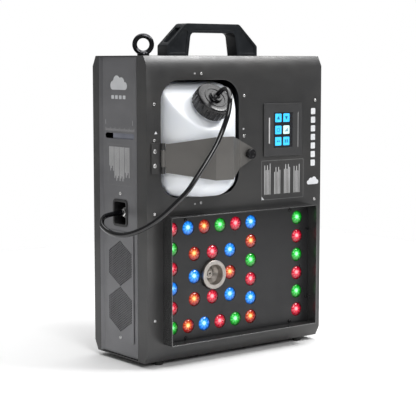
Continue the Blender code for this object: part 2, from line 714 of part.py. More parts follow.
def make_hose_inlet():
    """Recessed cup with a flange on the side panel, a coupling through its back and the coupling's sleeve."""
    cup = plate("hose_inlet_cup", [inlet_outline(0, 0.005)], 0.0025, INLET_DEPTH, "X")
    join(cup, plate("flange", [inlet_outline(0.0028, 0.007)], 0.0025, 0.0037, "X"))
    cut(cup, plate("hollow", [inlet_outline(-0.0015, 0.004)], 0, INLET_DEPTH - 0.0015, "X"))
    cut(cup, rod("hole", at(INLET_DEPTH, INLET_BEHIND, COUPLING_DOWN), LEFT, 0.0053, -0.002, 0.004, 20))
    keep(cup, "black")
    seat = at(INLET_DEPTH - 0.0015 - GAP, INLET_BEHIND, COUPLING_DOWN)
    tip = (seat.x - at(0.0059, 0, 0).x)
    body = [(0.0022, tip), (0.0038, tip), (0.0042, tip - 0.003), (0.0060, tip - 0.004), (0.0060, 0.0080),
            (0.0088, 0.0075), (0.0088, 0), (0.0050, 0), (0.0050, -0.0080), (0.0022, -0.0080)]
    keep(turned("hose_coupling", body, seat, LEFT, 16, ring=True), "steel")
    sleeve = [(0.0063, 0.0135), (0.0082, 0.0135), (0.0086, 0.0125), (0.0086, 0.0085), (0.0063, 0.0085)]
    keep(turned("coupling_sleeve", sleeve, seat, LEFT, 16, ring=True), "black")


# ---------------------------------------------------------------- light field and nozzle


def led_places():
    """Across and down of each light: a square of 20, a ring of 8 round the nozzle and a column of 6."""
    def spread(low, high):
        return [low + (high - low) * i / (LEDS_A_SIDE - 1) for i in range(LEDS_A_SIDE)]

    columns, rows = spread(*LED_COLUMNS), spread(*LED_ROWS)
    places = [(x, z) for z in rows for x in columns if x in LED_COLUMNS or z in LED_ROWS]
    steps = (-LED_RING_PITCH, 0, LED_RING_PITCH)
    places += [(NOZZLE[0] + a, NOZZLE[1] + b) for b in steps for a in steps if a or b]
    return places + [(LED_RIGHT_COLUMN, z) for z in rows]


def shrunk(box, margin):
    return rectangle(box[0] + margin, box[1] + margin, box[2] - margin, box[3] - margin)


def make_light_field():
    frame = [rectangle(*HOOD, 0.002, 2), shrunk(HOOD, HOOD_SHEET)]
    keep(plate("led_hood", frame, -HOOD_DEPTH, -GAP, "Y"), "body")
    holes = [circle(x, z, LENS_HOLE, 12) for x, z in led_places()]
    outline = shrunk(HOOD, HOOD_SHEET + GAP)
    keep(plate("led_plate", [outline, circle(*NOZZLE, NOZZLE_HOLE), *holes], -0.0018, -GAP, "Y"), "plate")
    carrier = plate("lens_array", [shrunk(HOOD, 0.003), circle(*NOZZLE, NOZZLE_HOLE)], 0.0019, 0.0033, "Y")
    dome = turned("dome", [(0, 0.0048), (0.0055, 0.0042), (LENS_RADIUS, 0.0005),
                           (LENS_RADIUS, -0.0026), (0, -0.0026)], (0, 0, 0), FORWARD, 10)
    placings = [Matrix.Translation(at(x, 0, z)) @ FORWARD.to_track_quat("Z", "Y").to_matrix().to_4x4()
                for x, z in led_places()]
    keep(join(carrier, scattered("domes", dome, placings)), "lens")
    keep(plate("led_board", [shrunk(HOOD, 0.006), circle(*NOZZLE, 0.0225)], 0.0065, 0.0081, "Y"), "board")


def make_nozzle():
    seat = at(NOZZLE[0], 0, NOZZLE[1])
    cone = [(0.0185, 0.0085), (0.0235, 0.0085), (0.0240, 0.0078), (0.0240, -0.0040), (0.0120, -0.0120), (0.0120, -0.0160),
            (0.0095, -0.0160), (0.0095, -0.0095), (0.0178, 0.0078)]
    keep(turned("nozzle_flange", cone, seat, FORWARD, 24, ring=True), "nozzle")
    tip = [(0.0020, -0.0045), (0.0070, -0.0045), (0.0085, -0.0060), (0.0085, -0.0300), (0.0020, -0.0300)]
    keep(turned("nozzle", tip, seat, FORWARD, 16, ring=True), "nozzle")


# ---------------------------------------------------------------- fog works behind the front


def make_heater():
    block_low, block_high = (0.088, 0.0303, 0.326), (0.183, 0.112, 0.397)
    keep(block("heater_block", block_low, block_high, 0.003), "steel")
    jacket = block("heater_jacket", (0.080, 0.024, 0.318), (0.191, 0.122, 0.405))
    cut(jacket, block("hollow", (0.083, 0.027, 0.321), (0.188, 0.124, 0.402)))
    cut(jacket, rod("nozzle_hole", at(NOZZLE[0], 0.027, NOZZLE[1]), FORWARD, 0.010, -0.003, 0.006, 20))
    keep(jacket, "insulation")


def make_pump():
    """Solenoid pump on its bracket, with a sprung plunger on its right end."""
    seat = at(*PUMP_SEAT)
    coil = [(0.0063, 0.060), (0.0165, 0.060), (0.0180, 0.0585), (0.0180, 0.0015), (0.0165, 0), (0.0063, 0)]
    keep(turned("pump_body", coil, seat, RIGHT, 24, ring=True), "black")
    core = [(0, 0.072), (0.0045, 0.072), (0.0060, 0.0705), (0.0060, 0.020), (0, 0.020)]
    keep(turned("pump_plunger", core, seat, RIGHT, 20), "steel")
    bracket = block("pump_bracket", (0.242, 0.042, 0.4485), (0.294, 0.082, 0.4503))
    join(bracket, block("leg", (0.242, 0.0802, 0.4490), (0.294, 0.082, HEIGHT - SHEET - GAP)))
    keep(bracket, "steel")


def make_pipes():
    """Fluid line from the inlet to the pump, and the pressure pipe from the pump to the heater."""
    pump = at(*PUMP_SEAT)
    inlet = at(0.0353, INLET_BEHIND, COUPLING_DOWN)
    feed = [inlet, at(0.048, 0.079, 0.258), at(0.062, 0.100, 0.272), at(0.066, 0.127, 0.320),
            at(0.080, 0.129, 0.400), at(0.130, 0.127, 0.436), at(0.185, 0.100, 0.440), at(0.215, 0.070, 0.433),
            pump - RIGHT * 0.0004]
    keep(tube("pump_feed_tube", smooth_route(feed, 0.015), 0.003), "hose")
    ends = [at(0.150, 0.1123, 0.360), at(0.150, 0.123, 0.362), at(0.170, 0.1300, 0.375), at(0.205, 0.128, 0.395),
            at(0.215, 0.105, 0.400), at(0.240, 0.082, 0.396), at(0.262, 0.065, 0.3965), at(0.268, 0.062, 0.4030),
            at(0.268, 0.062, 0.4113)]
    keep(tube("heater_feed_pipe", smooth_route(ends, 0.010), 0.0018), "brass")


def make_electronics():
    keep(block("power_supply", (0.226, 0.048, 0.262), (0.340, 0.100, 0.380), 0.002), "steel")
    holes = [circle(x, z, 0.0018, 8) for x in (0.218, 0.344) for z in (0.036, 0.224)]
    keep(plate("control_board", [rectangle(0.212, 0.030, 0.350, 0.230), *holes], 0.108, 0.1096, "Y"), "board")
    low_x, low_z, high_x, high_z = BEZEL
    bezel = plate("display_bezel", [rectangle(*BEZEL, 0.002, 2), shrunk(SCREEN, -GAP)], -0.0022, -GAP, "Y")
    keep(bezel, "black")
    keep(plate("display_glass", [rectangle(*SCREEN)], -0.0017, -GAP, "Y"), "glass")
    board = rectangle(low_x + 0.006, low_z + 0.006, high_x - 0.006, high_z - 0.006)
    keep(plate("display_board", [board], 0.0035, 0.0051, "Y"), "board")


# ---------------------------------------------------------------- side cover, fans and right side fittings


def make_side_cover():
    holes = [circle(FAN_BEHIND, down, 0.0016, 12) for down in COVER_SCREWS]
    keep(plate("side_cover", [rectangle(*COVER, 0.003), *holes], 0.0024, 0.0037, "X"), "body")


def make_fan(number, down):
    low, high = FAN_ACROSS
    square = centred(FAN_BEHIND, down, FAN_HALF, FAN_HALF, 0.004)
    frame = plate(f"fan_frame_{number}", [square, circle(FAN_BEHIND, down, FAN_BORE, 24)], low, high, "X")
    hub = at(high, FAN_BEHIND, down)
    join(frame, rod("motor_seat", hub, LEFT, 0.0115, 0, 0.0030))
    for angle in (45, 135):
        arm = block("arm", (high - 0.0030, FAN_BEHIND - 0.0285, down - 0.002),
                    (high - 0.0002, FAN_BEHIND + 0.0285, down + 0.002))
        arm.rotation_euler = (math.radians(angle), 0, 0)
        join(frame, arm)
    keep(frame, "black")
    rotor = rod(f"fan_rotor_{number}", hub, LEFT, 0.0110, 0.0036, 0.0235, 14)
    pitch = Matrix.Translation((0.0183, 0, 0.0136)) @ Matrix.Rotation(math.radians(42), 4, "X")
    turns = [Matrix.Rotation(2 * math.pi * i / FAN_BLADES, 4, "Z") @ pitch for i in range(FAN_BLADES)]
    blades = scattered("blades", cube("blade", (0.0170, 0.0012, 0.0160)), turns)
    blades.matrix_world = Matrix.Translation(hub) @ LEFT.to_track_quat("Z", "Y").to_matrix().to_4x4()
    keep(join(rotor, blades), "black")


def fitting(name, flange, body, hollow, depth, look):
    """Chassis fitting on the right side: a flange outside, a hollow body through the panel."""
    face = WIDTH - SIDE_RECESS + GAP
    piece = plate(name, [flange], face, face + 0.0020, "X")
    join(piece, plate("body", [body], face - depth, face + 0.0010, "X"))
    cut(piece, plate("hollow", [hollow], face - depth + 0.002, face + 0.010, "X"))
    return keep(piece, look)


def make_right_fittings():
    middle = SIDE_MIDDLE
    for name, down in DATA_SOCKETS.items():
        fitting(name, centred(middle, down, 0.013, 0.0155, 0.002), circle(middle, down, 0.0118, 20),
                circle(middle, down, 0.0095, 20), 0.020, "black")
    fitting("power_inlet", centred(middle, INLET_POWER_DOWN, 0.020, 0.0125, 0.002),
            centred(middle, INLET_POWER_DOWN, 0.0138, 0.0103), centred(middle, INLET_POWER_DOWN, 0.0120, 0.0082),
            0.022, "black")
    fitting("switch_frame", centred(middle, SWITCH_DOWN, 0.0155, 0.0125, 0.001),
            centred(middle, SWITCH_DOWN, 0.0135, 0.0105), centred(middle, SWITCH_DOWN, 0.0115, 0.0085),
            0.018, "black")
    face = WIDTH - SIDE_RECESS
    rocker = rounded([(middle - 0.0110, face + 0.0020, 0), (middle - 0.0095, face - 0.0085, 0.001),
                      (middle + 0.0095, face - 0.0085, 0.001), (middle + 0.0110, face + 0.0005, 0),
                      (middle, face - 0.0005, 0)])
    switch = plate("power_switch", [[(across, behind) for behind, across in rocker]],
                   SWITCH_DOWN - 0.0080, SWITCH_DOWN + 0.0080, "Z")
    keep(switch, "black")
    seat = at(face, middle, FUSE_DOWN)
    cap = [(0, 0.0035), (0.0065, 0.0035), (0.0075, 0.0025), (0.0075, GAP), (0.0060, GAP), (0.0060, -0.0250),
           (0, -0.0250)]
    fuse = turned("fuse_cap", cap, seat, RIGHT, 24)
    keep(cut(fuse, block("coin_slot", (face + 0.0020, middle - 0.0045, FUSE_DOWN - 0.0006),
                         (face + 0.0050, middle + 0.0045, FUSE_DOWN + 0.0006))), "black")


# ---------------------------------------------------------------- whole machine


def clear_scene():
    for obj in list(bpy.data.objects):
        bpy.data.objects.remove(obj, do_unlink=True)
    for name in ("fog_machine", "cutters"):
        collection = bpy.data.collections.new(name)
        bpy.context.scene.collection.children.link(collection)
    bpy.data.collections["cutters"].hide_render = True


def main():
    clear_scene()
    make_front_shell()
    make_rear_shell()
    make_left_side_panel()
    make_right_side_panel()
    make_top_and_bottom_panels()
    make_feet()
    make_carry_handle()
    make_eye_bolt()
    make_bottle_bay()
    make_bottle()
    make_bottle_cap()
    make_cap_fitting()
    make_pickup_tube()
    make_bottle_strap()
    make_strap_hinge()
    make_strap_knob()
    make_fluid_hose()
    make_hose_inlet()
    make_light_field()
    make_nozzle()
    make_heater()
    make_pump()
    make_pipes()
    make_electronics()
    make_side_cover()
    for number, down in enumerate(FAN_DOWN, 1):
        make_fan(number, down)
    make_right_fittings()


main()
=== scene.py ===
"""Finished look of the upright fog machine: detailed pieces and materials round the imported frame.

Places are given from the body, as distances across from its left side, behind its front plane and
down from its top, which at() turns into a point in the frame.
"""

from math import cos, pi, radians, sin, sqrt, tan

import bmesh
import bpy
from mathutils import Matrix, Vector


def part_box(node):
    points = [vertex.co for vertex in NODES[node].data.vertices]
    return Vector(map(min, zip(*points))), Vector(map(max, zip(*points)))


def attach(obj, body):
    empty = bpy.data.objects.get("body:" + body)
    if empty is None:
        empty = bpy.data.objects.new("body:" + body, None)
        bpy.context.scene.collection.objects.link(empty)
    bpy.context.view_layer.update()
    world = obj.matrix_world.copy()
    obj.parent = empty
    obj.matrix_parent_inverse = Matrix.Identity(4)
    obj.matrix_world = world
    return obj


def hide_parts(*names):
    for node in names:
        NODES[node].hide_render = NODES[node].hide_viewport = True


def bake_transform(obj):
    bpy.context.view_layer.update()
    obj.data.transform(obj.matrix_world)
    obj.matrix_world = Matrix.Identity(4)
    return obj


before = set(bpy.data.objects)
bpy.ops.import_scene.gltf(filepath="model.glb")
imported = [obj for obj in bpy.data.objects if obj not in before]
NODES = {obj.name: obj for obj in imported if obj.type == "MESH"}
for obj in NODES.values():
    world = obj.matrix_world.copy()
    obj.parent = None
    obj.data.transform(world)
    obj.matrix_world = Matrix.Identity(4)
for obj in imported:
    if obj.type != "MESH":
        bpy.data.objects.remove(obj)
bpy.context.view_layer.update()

FORWARD, BACKWARD = Vector((0, -1, 0)), Vector((0, 1, 0))
LEFT, RIGHT = Vector((-1, 0, 0)), Vector((1, 0, 0))
UP, DOWN = Vector((0, 0, 1)), Vector((0, 0, -1))

# The body, from the frame
FRONT_LOW, FRONT_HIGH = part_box("front_shell")
REAR_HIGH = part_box("rear_shell")[1]
WIDTH = FRONT_HIGH.x - FRONT_LOW.x
DEPTH = REAR_HIGH.y - FRONT_LOW.y
HEIGHT = FRONT_HIGH.z - FRONT_LOW.z
SIDE_RECESS = 0.004
SIDE_MIDDLE = 0.0815

# Bottle, cap and hose, as in the frame
BOTTLE_ACROSS = 0.1086
BOTTLE_RADIUS = 0.075
BOTTLE_CENTRE_BEHIND = 0.03
BOTTLE_BACK = 0.092
BOTTLE_TOP, BOTTLE_BOTTOM = 0.042, 0.2275
BOTTLE_CORNER = 0.034
NECK_TILT = radians(40)
NECK_BEHIND, NECK_DOWN = -0.0153, 0.0853
NECK_RADIUS = 0.0245
CAP_RADIUS, CAP_LOW, CAP_HIGH = 0.0305, 0.006, 0.0298
HOSE_RADIUS = 0.004
STRAP_MIDDLE = 0.163

# Left and right sides: the fans, the inlet and the service cover share one line
FAN_BEHIND = 0.0805
INLET_SEAT, INLET_DOWN = 0.0262, 0.256
COVER = (0.0425, 0.2865, 0.119, 0.47)
COVER_SCREWS = (0.2925, 0.4635)
GRILLE_CENTRES = (0.3395, 0.416)
GRILLE_RINGS = 9
GRILLE_HOLE, GRILLE_PITCH = 0.00165, 0.00403
DATA_ROWS, POWER_DOWN = (0.2, 0.24), 0.335
FOOT_INSET = (0.036, 0.02)

# Prints stand a hair in front of the paint and reach a little behind its face
PRINT_LOW, PRINT_HIGH = -0.00008, 0.0002

# Light field and display
HOOD = (0.031, 0.2565, 0.3456, 0.466)
SCREEN = (0.264, 0.096, 0.306, 0.156)
TILE_COLUMNS = (0.2742, 0.2924)
TILE_ROWS = (0.1049, 0.1254, 0.1448)
LENS_GLOW = 1.0
NOZZLE = (0.1312, 0.36)
LED_COLUMNS, LED_ROWS = (0.0477, 0.214), (0.279, 0.441)
LEDS_A_SIDE = 6
LED_RING_PITCH = 0.0376
LED_RIGHT_COLUMN = 0.3184
LENS_RADIUS = 0.0114
# Colours from the square's top left corner, row by row, then the ring round the nozzle, then the column
LED_COLOURS = "rbagrb" "ga" "rg" "br" "rb" "gabrga" "arb" "ba" "arb" "grgrgr"


def at(across, behind, down):
    return Vector((FRONT_LOW.x + across, FRONT_LOW.y + behind, FRONT_HIGH.z - down))


def link(obj):
    """Puts an object in the scene, unless it is there already."""
    if obj.name not in bpy.context.scene.collection.objects:
        bpy.context.scene.collection.objects.link(obj)
    return obj


# ---- camera and light

LENS = 112.1
CAMERA_AZIMUTH = radians(38.1)
CAMERA_TILT = radians(6.42)
CAMERA_PLACE = (-1.1847, -1.6679, 0.0106)
ROOM_LIGHT = 0.22
KEY_POWER, SIDE_POWER, LEFT_POWER, TOP_POWER = 30, 1.1, 28, 80


def make_camera():
    data = bpy.data.cameras.new("camera")
    data.lens = LENS
    data.sensor_width = 36
    camera = bpy.data.objects.new("camera", data)
    camera.location = at(*CAMERA_PLACE)
    camera.rotation_euler = (pi / 2 - CAMERA_TILT, 0, -CAMERA_AZIMUTH)
    bpy.context.scene.camera = link(camera)


def add_area(name, location, target, size, power, colour=(1, 1, 1)):
    data = bpy.data.lights.new(name, "AREA")
    data.shape = "RECTANGLE"
    data.size, data.size_y = size
    data.energy = power
    data.color = colour
    light = bpy.data.objects.new(name, data)
    light.location = location
    light.rotation_euler = (Vector(target) - Vector(location)).to_track_quat("-Z", "Y").to_euler()
    link(light)


def make_world():
    """White behind the object, and a dimmer studio in what lights it."""
    world = bpy.data.worlds.new("studio")
    world.use_nodes = True
    nodes, links = world.node_tree.nodes, world.node_tree.links
    room = nodes["Background"]
    room.inputs["Color"].default_value = (1.0, 1.0, 1.0, 1)
    room.inputs["Strength"].default_value = ROOM_LIGHT
    backdrop = nodes.new("ShaderNodeBackground")
    backdrop.inputs["Color"].default_value = (1.0, 1.0, 1.0, 1)
    mix = nodes.new("ShaderNodeMixShader")
    links.new(nodes.new("ShaderNodeLightPath").outputs["Is Camera Ray"], mix.inputs[0])
    links.new(room.outputs[0], mix.inputs[1])
    links.new(backdrop.outputs[0], mix.inputs[2])
    links.new(mix.outputs[0], nodes["World Output"].inputs["Surface"])
    bpy.context.scene.world = world


def make_light():
    bpy.context.scene.view_settings.view_transform = "Standard"
    make_world()
    middle = (0, 0, 0.25)
    add_area("key", (1.27, -1.12, 2.05), middle, (0.7, 0.5), KEY_POWER)
    add_area("side", (-1.45, 1.75, 0.45), middle, (1.0, 0.9), SIDE_POWER)
    add_area("left", (-0.8, -2.3, 1.7), middle, (1.0, 1.0), LEFT_POWER)
    add_area("top", (0.35, 0.15, 2.6), middle, (3.0, 3.0), TOP_POWER)
    mesh = bpy.data.meshes.new("floor")
    bm = bmesh.new()
    bmesh.ops.create_grid(bm, x_segments=1, y_segments=1, size=1.25)
    bm.to_mesh(mesh)
    bm.free()
    floor = link(bpy.data.objects.new("floor", mesh))
    look = Look("floor_white", (0.95, 0.95, 0.95), 0.9)
    look.colour_noise(3.0, (0.94, 0.94, 0.94), (0.96, 0.96, 0.96))
    floor.data.materials.append(look.material)


# ---- materials


LOOKS = {}  # by the names that piece() and KEPT give


class Look:
    """A material under construction, with short calls for the nodes that this model uses."""

    def __init__(self, name, colour, roughness, metallic=0.0, **sockets):
        self.material = bpy.data.materials.new(name)
        self.material.use_nodes = True
        self.nodes = self.material.node_tree.nodes
        self.links = self.material.node_tree.links
        self.shader = self.nodes["Principled BSDF"]
        self.set("Base Color", (*colour, 1))
        self.set("Roughness", roughness)
        self.set("Metallic", metallic)
        for socket, value in sockets.items():
            self.set(socket.replace("_", " ").title().replace("Ior", "IOR"), value)
        self.normal = None

    def set(self, socket, value):
        self.shader.inputs[socket].default_value = value

    def node(self, kind, **inputs):
        made = self.nodes.new("ShaderNode" + kind)
        for name, value in inputs.items():
            self.join(value, made.inputs[name.replace("_", " ")])
        return made

    def join(self, value, socket):
        """Links a node's output to a socket, or sets the socket to a plain value."""
        if isinstance(value, bpy.types.NodeSocket):
            self.links.new(value, socket)
        else:
            socket.default_value = value

    def coordinates(self, stretch=(1, 1, 1), output="Object"):
        place = self.nodes.new("ShaderNodeTexCoord").outputs[output]
        mapping = self.node("Mapping", Vector=place, Scale=stretch)
        return mapping.outputs["Vector"]

    def noise(self, scale, detail=2.0, stretch=(1, 1, 1)):
        texture = self.node("TexNoise", Vector=self.coordinates(stretch), Scale=scale, Detail=detail)
        return texture.outputs["Fac"]

    def spread(self, value, low, high, start=0.35, end=0.65):
        """The value from start to end, spread from low to high."""
        made = self.node("MapRange", Value=value, From_Min=start, From_Max=end, To_Min=low, To_Max=high)
        return made.outputs["Result"]

    def maths(self, operation, *values):
        made = self.node("Math")
        made.operation = operation
        for value, socket in zip(values, made.inputs):
            self.join(value, socket)
        return made.outputs[0]

    def blend(self, share, low, high):
        mix = self.nodes.new("ShaderNodeMix")
        mix.data_type = "RGBA"
        self.join(share, mix.inputs[0])
        for colour, socket in ((low, mix.inputs[6]), (high, mix.inputs[7])):
            self.join(colour if isinstance(colour, bpy.types.NodeSocket) else (*colour, 1), socket)
        return mix.outputs[2]

    def colour_noise(self, scale, low, high, detail=2.0, stretch=(1, 1, 1)):
        share = self.spread(self.noise(scale, detail, stretch), 0, 1)
        self.links.new(self.blend(share, low, high), self.shader.inputs["Base Color"])
        return self

    def roughness_noise(self, scale, low, high, detail=3.0, stretch=(1, 1, 1)):
        value = self.spread(self.noise(scale, detail, stretch), low, high)
        self.links.new(value, self.shader.inputs["Roughness"])
        return self

    def bump(self, height, distance, strength=1.0):
        made = self.node("Bump", Height=height, Distance=distance, Strength=strength)
        if self.normal is not None:
            self.links.new(self.normal, made.inputs["Normal"])
        self.normal = made.outputs["Normal"]
        self.links.new(self.normal, self.shader.inputs["Normal"])
        return self

    def bump_noise(self, scale, distance, strength=1.0, detail=2.0, stretch=(1, 1, 1)):
        return self.bump(self.noise(scale, detail, stretch), distance, strength)


def paint(name, low, high, roughness=(0.34, 0.46), metallic=0.35):
    """Satin powder coat: a fine orange peel, faint brushing under it and cloudy gloss."""
    look = Look(name, low, 0.4, metallic)
    look.colour_noise(7.0, low, high, 4.0, (1, 1, 2.5))
    look.roughness_noise(40.0, *roughness, 4.0)
    look.bump_noise(900.0, 0.00018, 0.4)
    look.bump_noise(260.0, 0.0002, 0.12, 2.0, (0.15, 1, 6))
    return look.material


def moulded(name, low, high, roughness=(0.35, 0.5), grain=1400.0, depth=0.0002):
    """Moulded plastic with a fine spark-eroded grain."""
    look = Look(name, low, 0.45, 0.0)
    look.colour_noise(25.0, low, high, 3.0)
    look.roughness_noise(120.0, *roughness, 3.0)
    look.bump_noise(grain, depth, 0.5)
    return look.material


def metal(name, low, high, roughness=(0.18, 0.35), stretch=(1, 1, 8), scale=300.0):
    """Bare or plated metal with fine tool marks along one direction."""
    look = Look(name, low, 0.3, 1.0)
    look.colour_noise(60.0, low, high, 3.0)
    look.roughness_noise(scale, *roughness, 4.0, stretch)
    look.bump_noise(scale * 2, 0.00008, 0.4, 3.0, stretch)
    return look.material


def make_looks():
    LOOKS.update({
        "body": paint("body_paint", (0.064, 0.064, 0.065), (0.077, 0.076, 0.075), (0.3, 0.37), 0.6),
        # The side panels and the grille cover take a lighter copy of the body's paint: painted light for
        # the brighter light that falls on the sides
        "side": paint("side_paint_painted_light", (0.175, 0.175, 0.183), (0.205, 0.205, 0.213), (0.32, 0.4), 0.6),
        "strap": paint("strap_paint", (0.128, 0.123, 0.117), (0.148, 0.142, 0.134), (0.34, 0.44)),
        "hood": paint("hood_paint", (0.13, 0.13, 0.131), (0.15, 0.15, 0.151), (0.2, 0.26), 0.8),
        "plate": paint("plate_paint", (0.015, 0.015, 0.016), (0.02, 0.02, 0.021), (0.36, 0.46), 0.2),
        "black": moulded("black_plastic", (0.012, 0.012, 0.013), (0.02, 0.02, 0.021)),
        "cap": moulded("cap_plastic", (0.003, 0.003, 0.004), (0.006, 0.006, 0.007), (0.22, 0.3), 700.0,
                       0.0001),
        "rubber": moulded("foot_rubber", (0.01, 0.01, 0.01), (0.018, 0.018, 0.017), (0.65, 0.85), 900.0,
                          0.0003),
        "steel": metal("bright_steel", (0.52, 0.52, 0.52), (0.68, 0.68, 0.67)),
        "dark_chrome": metal("dark_chrome", (0.035, 0.035, 0.038), (0.06, 0.06, 0.064), (0.12, 0.22)),
        "nozzle": metal("nozzle_metal", (0.4, 0.37, 0.34), (0.5, 0.47, 0.44), (0.34, 0.46)),
        "cast": metal("cast_metal", (0.42, 0.42, 0.42), (0.55, 0.55, 0.55), (0.35, 0.55), (1, 1, 1), 150.0),
        "brass": metal("drawn_brass", (0.48, 0.36, 0.14), (0.62, 0.48, 0.22)),
        "board": moulded("solder_mask", (0.01, 0.075, 0.028), (0.016, 0.1, 0.04), (0.25, 0.4), 500.0,
                         0.0001),
        "insulation": moulded("insulation_felt", (0.42, 0.42, 0.39), (0.62, 0.61, 0.57), (0.9, 1.0), 250.0,
                              0.002),
        "handle": moulded("handle_plastic", (0.005, 0.007, 0.009), (0.009, 0.011, 0.014), (0.3, 0.4),
                          1100.0),
        "bezel": moulded("bezel_film", (0.03, 0.03, 0.031), (0.036, 0.036, 0.037), (0.4, 0.5)),
        "bay": moulded("bay_paint", (0.012, 0.013, 0.016), (0.018, 0.019, 0.022), (0.4, 0.55)),
        "line": moulded("line_print", (0.16, 0.16, 0.16), (0.2, 0.2, 0.2), (0.4, 0.5)),
        "white_faint": moulded("faint_print", (0.42, 0.42, 0.42), (0.52, 0.52, 0.52), (0.4, 0.5)),
        "sign": moulded("sign_print", (0.01, 0.12, 0.25), (0.015, 0.16, 0.3), (0.3, 0.4)),
        "sight": moulded("frosted_sight", (0.16, 0.17, 0.21), (0.24, 0.25, 0.3), (0.3, 0.45)),
        "white": moulded("white_print", (0.62, 0.63, 0.65), (0.7, 0.71, 0.72), (0.4, 0.5)),
        "hose": hose_look(),
        "bottle": bottle_look(),
        "glass": screen_look(),
    })


def hose_look():
    look = Look("glossy_hose", (0.004, 0.004, 0.005), 0.11, 0.0, coat_weight=0.3)
    look.set("Coat Roughness", 0.06)
    look.roughness_noise(50.0, 0.08, 0.15, 3.0)
    look.bump_noise(160.0, 0.0003, 0.15)
    return look.material


def bottle_look():
    """Natural polyethylene: milky, soft and a little waxy."""
    look = Look("bottle_plastic", (0.8, 0.83, 0.87), 0.34, 0.0, subsurface_weight=0.55)
    look.set("Subsurface Radius", (0.012, 0.012, 0.013))
    look.set("Subsurface Scale", 0.6)
    look.colour_noise(9.0, (0.76, 0.8, 0.85), (0.84, 0.86, 0.89), 3.0)
    look.roughness_noise(30.0, 0.28, 0.42, 3.0)
    look.bump_noise(120.0, 0.0006, 0.12)
    return look.material


def screen_look():
    look = Look("screen_glass", (0.01, 0.011, 0.014), 0.07, 0.0, coat_weight=1.0)
    look.set("Coat Roughness", 0.03)
    look.roughness_noise(90.0, 0.05, 0.1, 2.0)
    return look.material


def glow_look(name, edge, middle, centre):
    """A lit lens: its light fades from the centre to the rim, over spokes that the moulded facets make."""
    look = Look(name, [c * 0.15 for c in edge], 0.12, 0.0, coat_weight=0.5)
    flat = look.coordinates((1, 1, 0), "UV")
    parts = look.node("SeparateXYZ", Vector=flat)
    radius = look.node("VectorMath", Vector=flat)
    radius.operation = "LENGTH"
    far = radius.outputs["Value"]
    ramp = look.node("ValToRGB", Fac=far)
    stops = ramp.color_ramp.elements
    stops[0].position, stops[0].color = 0.16, (*centre, 1)
    stops[1].position, stops[1].color = 1.08, (*[c * 0.35 for c in edge], 1)
    for place, colour in ((0.38, middle), (0.72, edge)):
        stops.new(place).color = (*colour, 1)
    glow = ramp.outputs["Color"]
    turn = look.maths("ARCTAN2", parts.outputs["Y"], parts.outputs["X"])
    wave = look.maths("COSINE", look.maths("MULTIPLY", turn, LENS_FACETS))
    outer, inner = look.spread(far, 0.0, 1.0, 0.25, 0.6), look.spread(far, 1.0, 0.0, 0.2, 0.75)
    dark = look.maths("MULTIPLY", look.spread(wave, 1.0, 0.0, -1, 0.3), outer)
    bright = look.maths("MULTIPLY", look.spread(wave, 0.0, 0.28, 0.2, 1), inner)
    glow = look.blend(dark, glow, look.blend(0.42, glow, (0, 0, 0)))
    look.join(look.blend(bright, glow, centre), look.shader.inputs["Emission Color"])
    look.set("Emission Strength", LENS_GLOW)
    return look.material


# ---- making pieces


def piece(obj, look, body="root", replaced=()):
    """Finishes a new piece: its material and body, and the CAD nodes that it stands for."""
    link(obj)
    obj.data.materials.clear()
    obj.data.materials.append(LOOKS[look])
    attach(obj, body)
    if replaced:
        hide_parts(*replaced)
    return obj


def new_object(name, bm, smooth=None):
    """Object from a bmesh, shaded smooth up to an angle in degrees."""
    mesh = bpy.data.meshes.new(name)
    bm.to_mesh(mesh)
    bm.free()
    if "custom_normal" in mesh.attributes:
        mesh.attributes.remove(mesh.attributes["custom_normal"])
    if smooth is not None:
        mesh.shade_smooth()
        mesh.set_sharp_from_angle(angle=radians(smooth))
    return bpy.data.objects.new(name, mesh)


def closed(name, bm, smooth=None):
    """Object from a bmesh of closed solids, with its normals turned outward."""
    bmesh.ops.recalc_face_normals(bm, faces=bm.faces)
    return new_object(name, bm, smooth)


def bevelled(obj, width, segments=3, angle=30):
    bevel = obj.modifiers.new("edges", "BEVEL")
    bevel.width = width
    bevel.segments = segments
    bevel.limit_method = "ANGLE"
    bevel.angle_limit = radians(angle)
    bevel.harden_normals = True
    return obj


def softened(node, name, width, segments=3):
    """A copy of a CAD node's mesh with its flat faces made whole and its edges rounded."""
    bm = bmesh.new()
    bm.from_mesh(NODES[node].data)
    bmesh.ops.remove_doubles(bm, verts=bm.verts, dist=2e-6)
    bmesh.ops.dissolve_limit(bm, angle_limit=radians(0.8), verts=bm.verts, edges=bm.edges)
    return bevelled(new_object(name, bm, 40), width, segments)


def skin(node, name, edge, look, body="root"):
    """A CAD node's softened copy, which stands for it."""
    piece(softened(node, name, edge), look, body, [node])


def standing(place, axis):
    """Matrix whose Z runs along the axis from the place."""
    return Matrix.Translation(place) @ axis.to_track_quat("Z", "Y").to_matrix().to_4x4()


def add_turned(bm, profile, matrix, steps=40, ring=False):
    """Adds a turned shape to a bmesh, from its profile of (radius, height) along the matrix's Z.

    A third value in a profile point is a function of the angle, which scales that ring's radius.
    """
    rings = []
    for radius, height, *shape in profile:
        if radius < 1e-7:
            rings.append([bm.verts.new(matrix @ Vector((0, 0, height)))])
            continue
        turns = [2 * pi * i / steps for i in range(steps)]
        reach = [radius * (shape[0](a) if shape else 1) for a in turns]
        rings.append([bm.verts.new(matrix @ Vector((r * cos(a), r * sin(a), height)))
                      for r, a in zip(reach, turns)])
    pairs = list(zip(rings, rings[1:]))
    if ring:
        pairs.append((rings[-1], rings[0]))
    for upper, lower in pairs:
        for i in range(steps):
            j = (i + 1) % steps
            corners = [(upper, i), (lower, i), (lower, j), (upper, j)]
            unique = list(dict.fromkeys(line[k % len(line)] for line, k in corners))
            if len(unique) > 2:
                bm.faces.new(unique)


def turned(name, profile, origin, axis, steps=40, ring=False, smooth=35):
    bm = bmesh.new()
    add_turned(bm, profile, standing(origin, axis), steps, ring)
    return closed(name, bm, smooth)


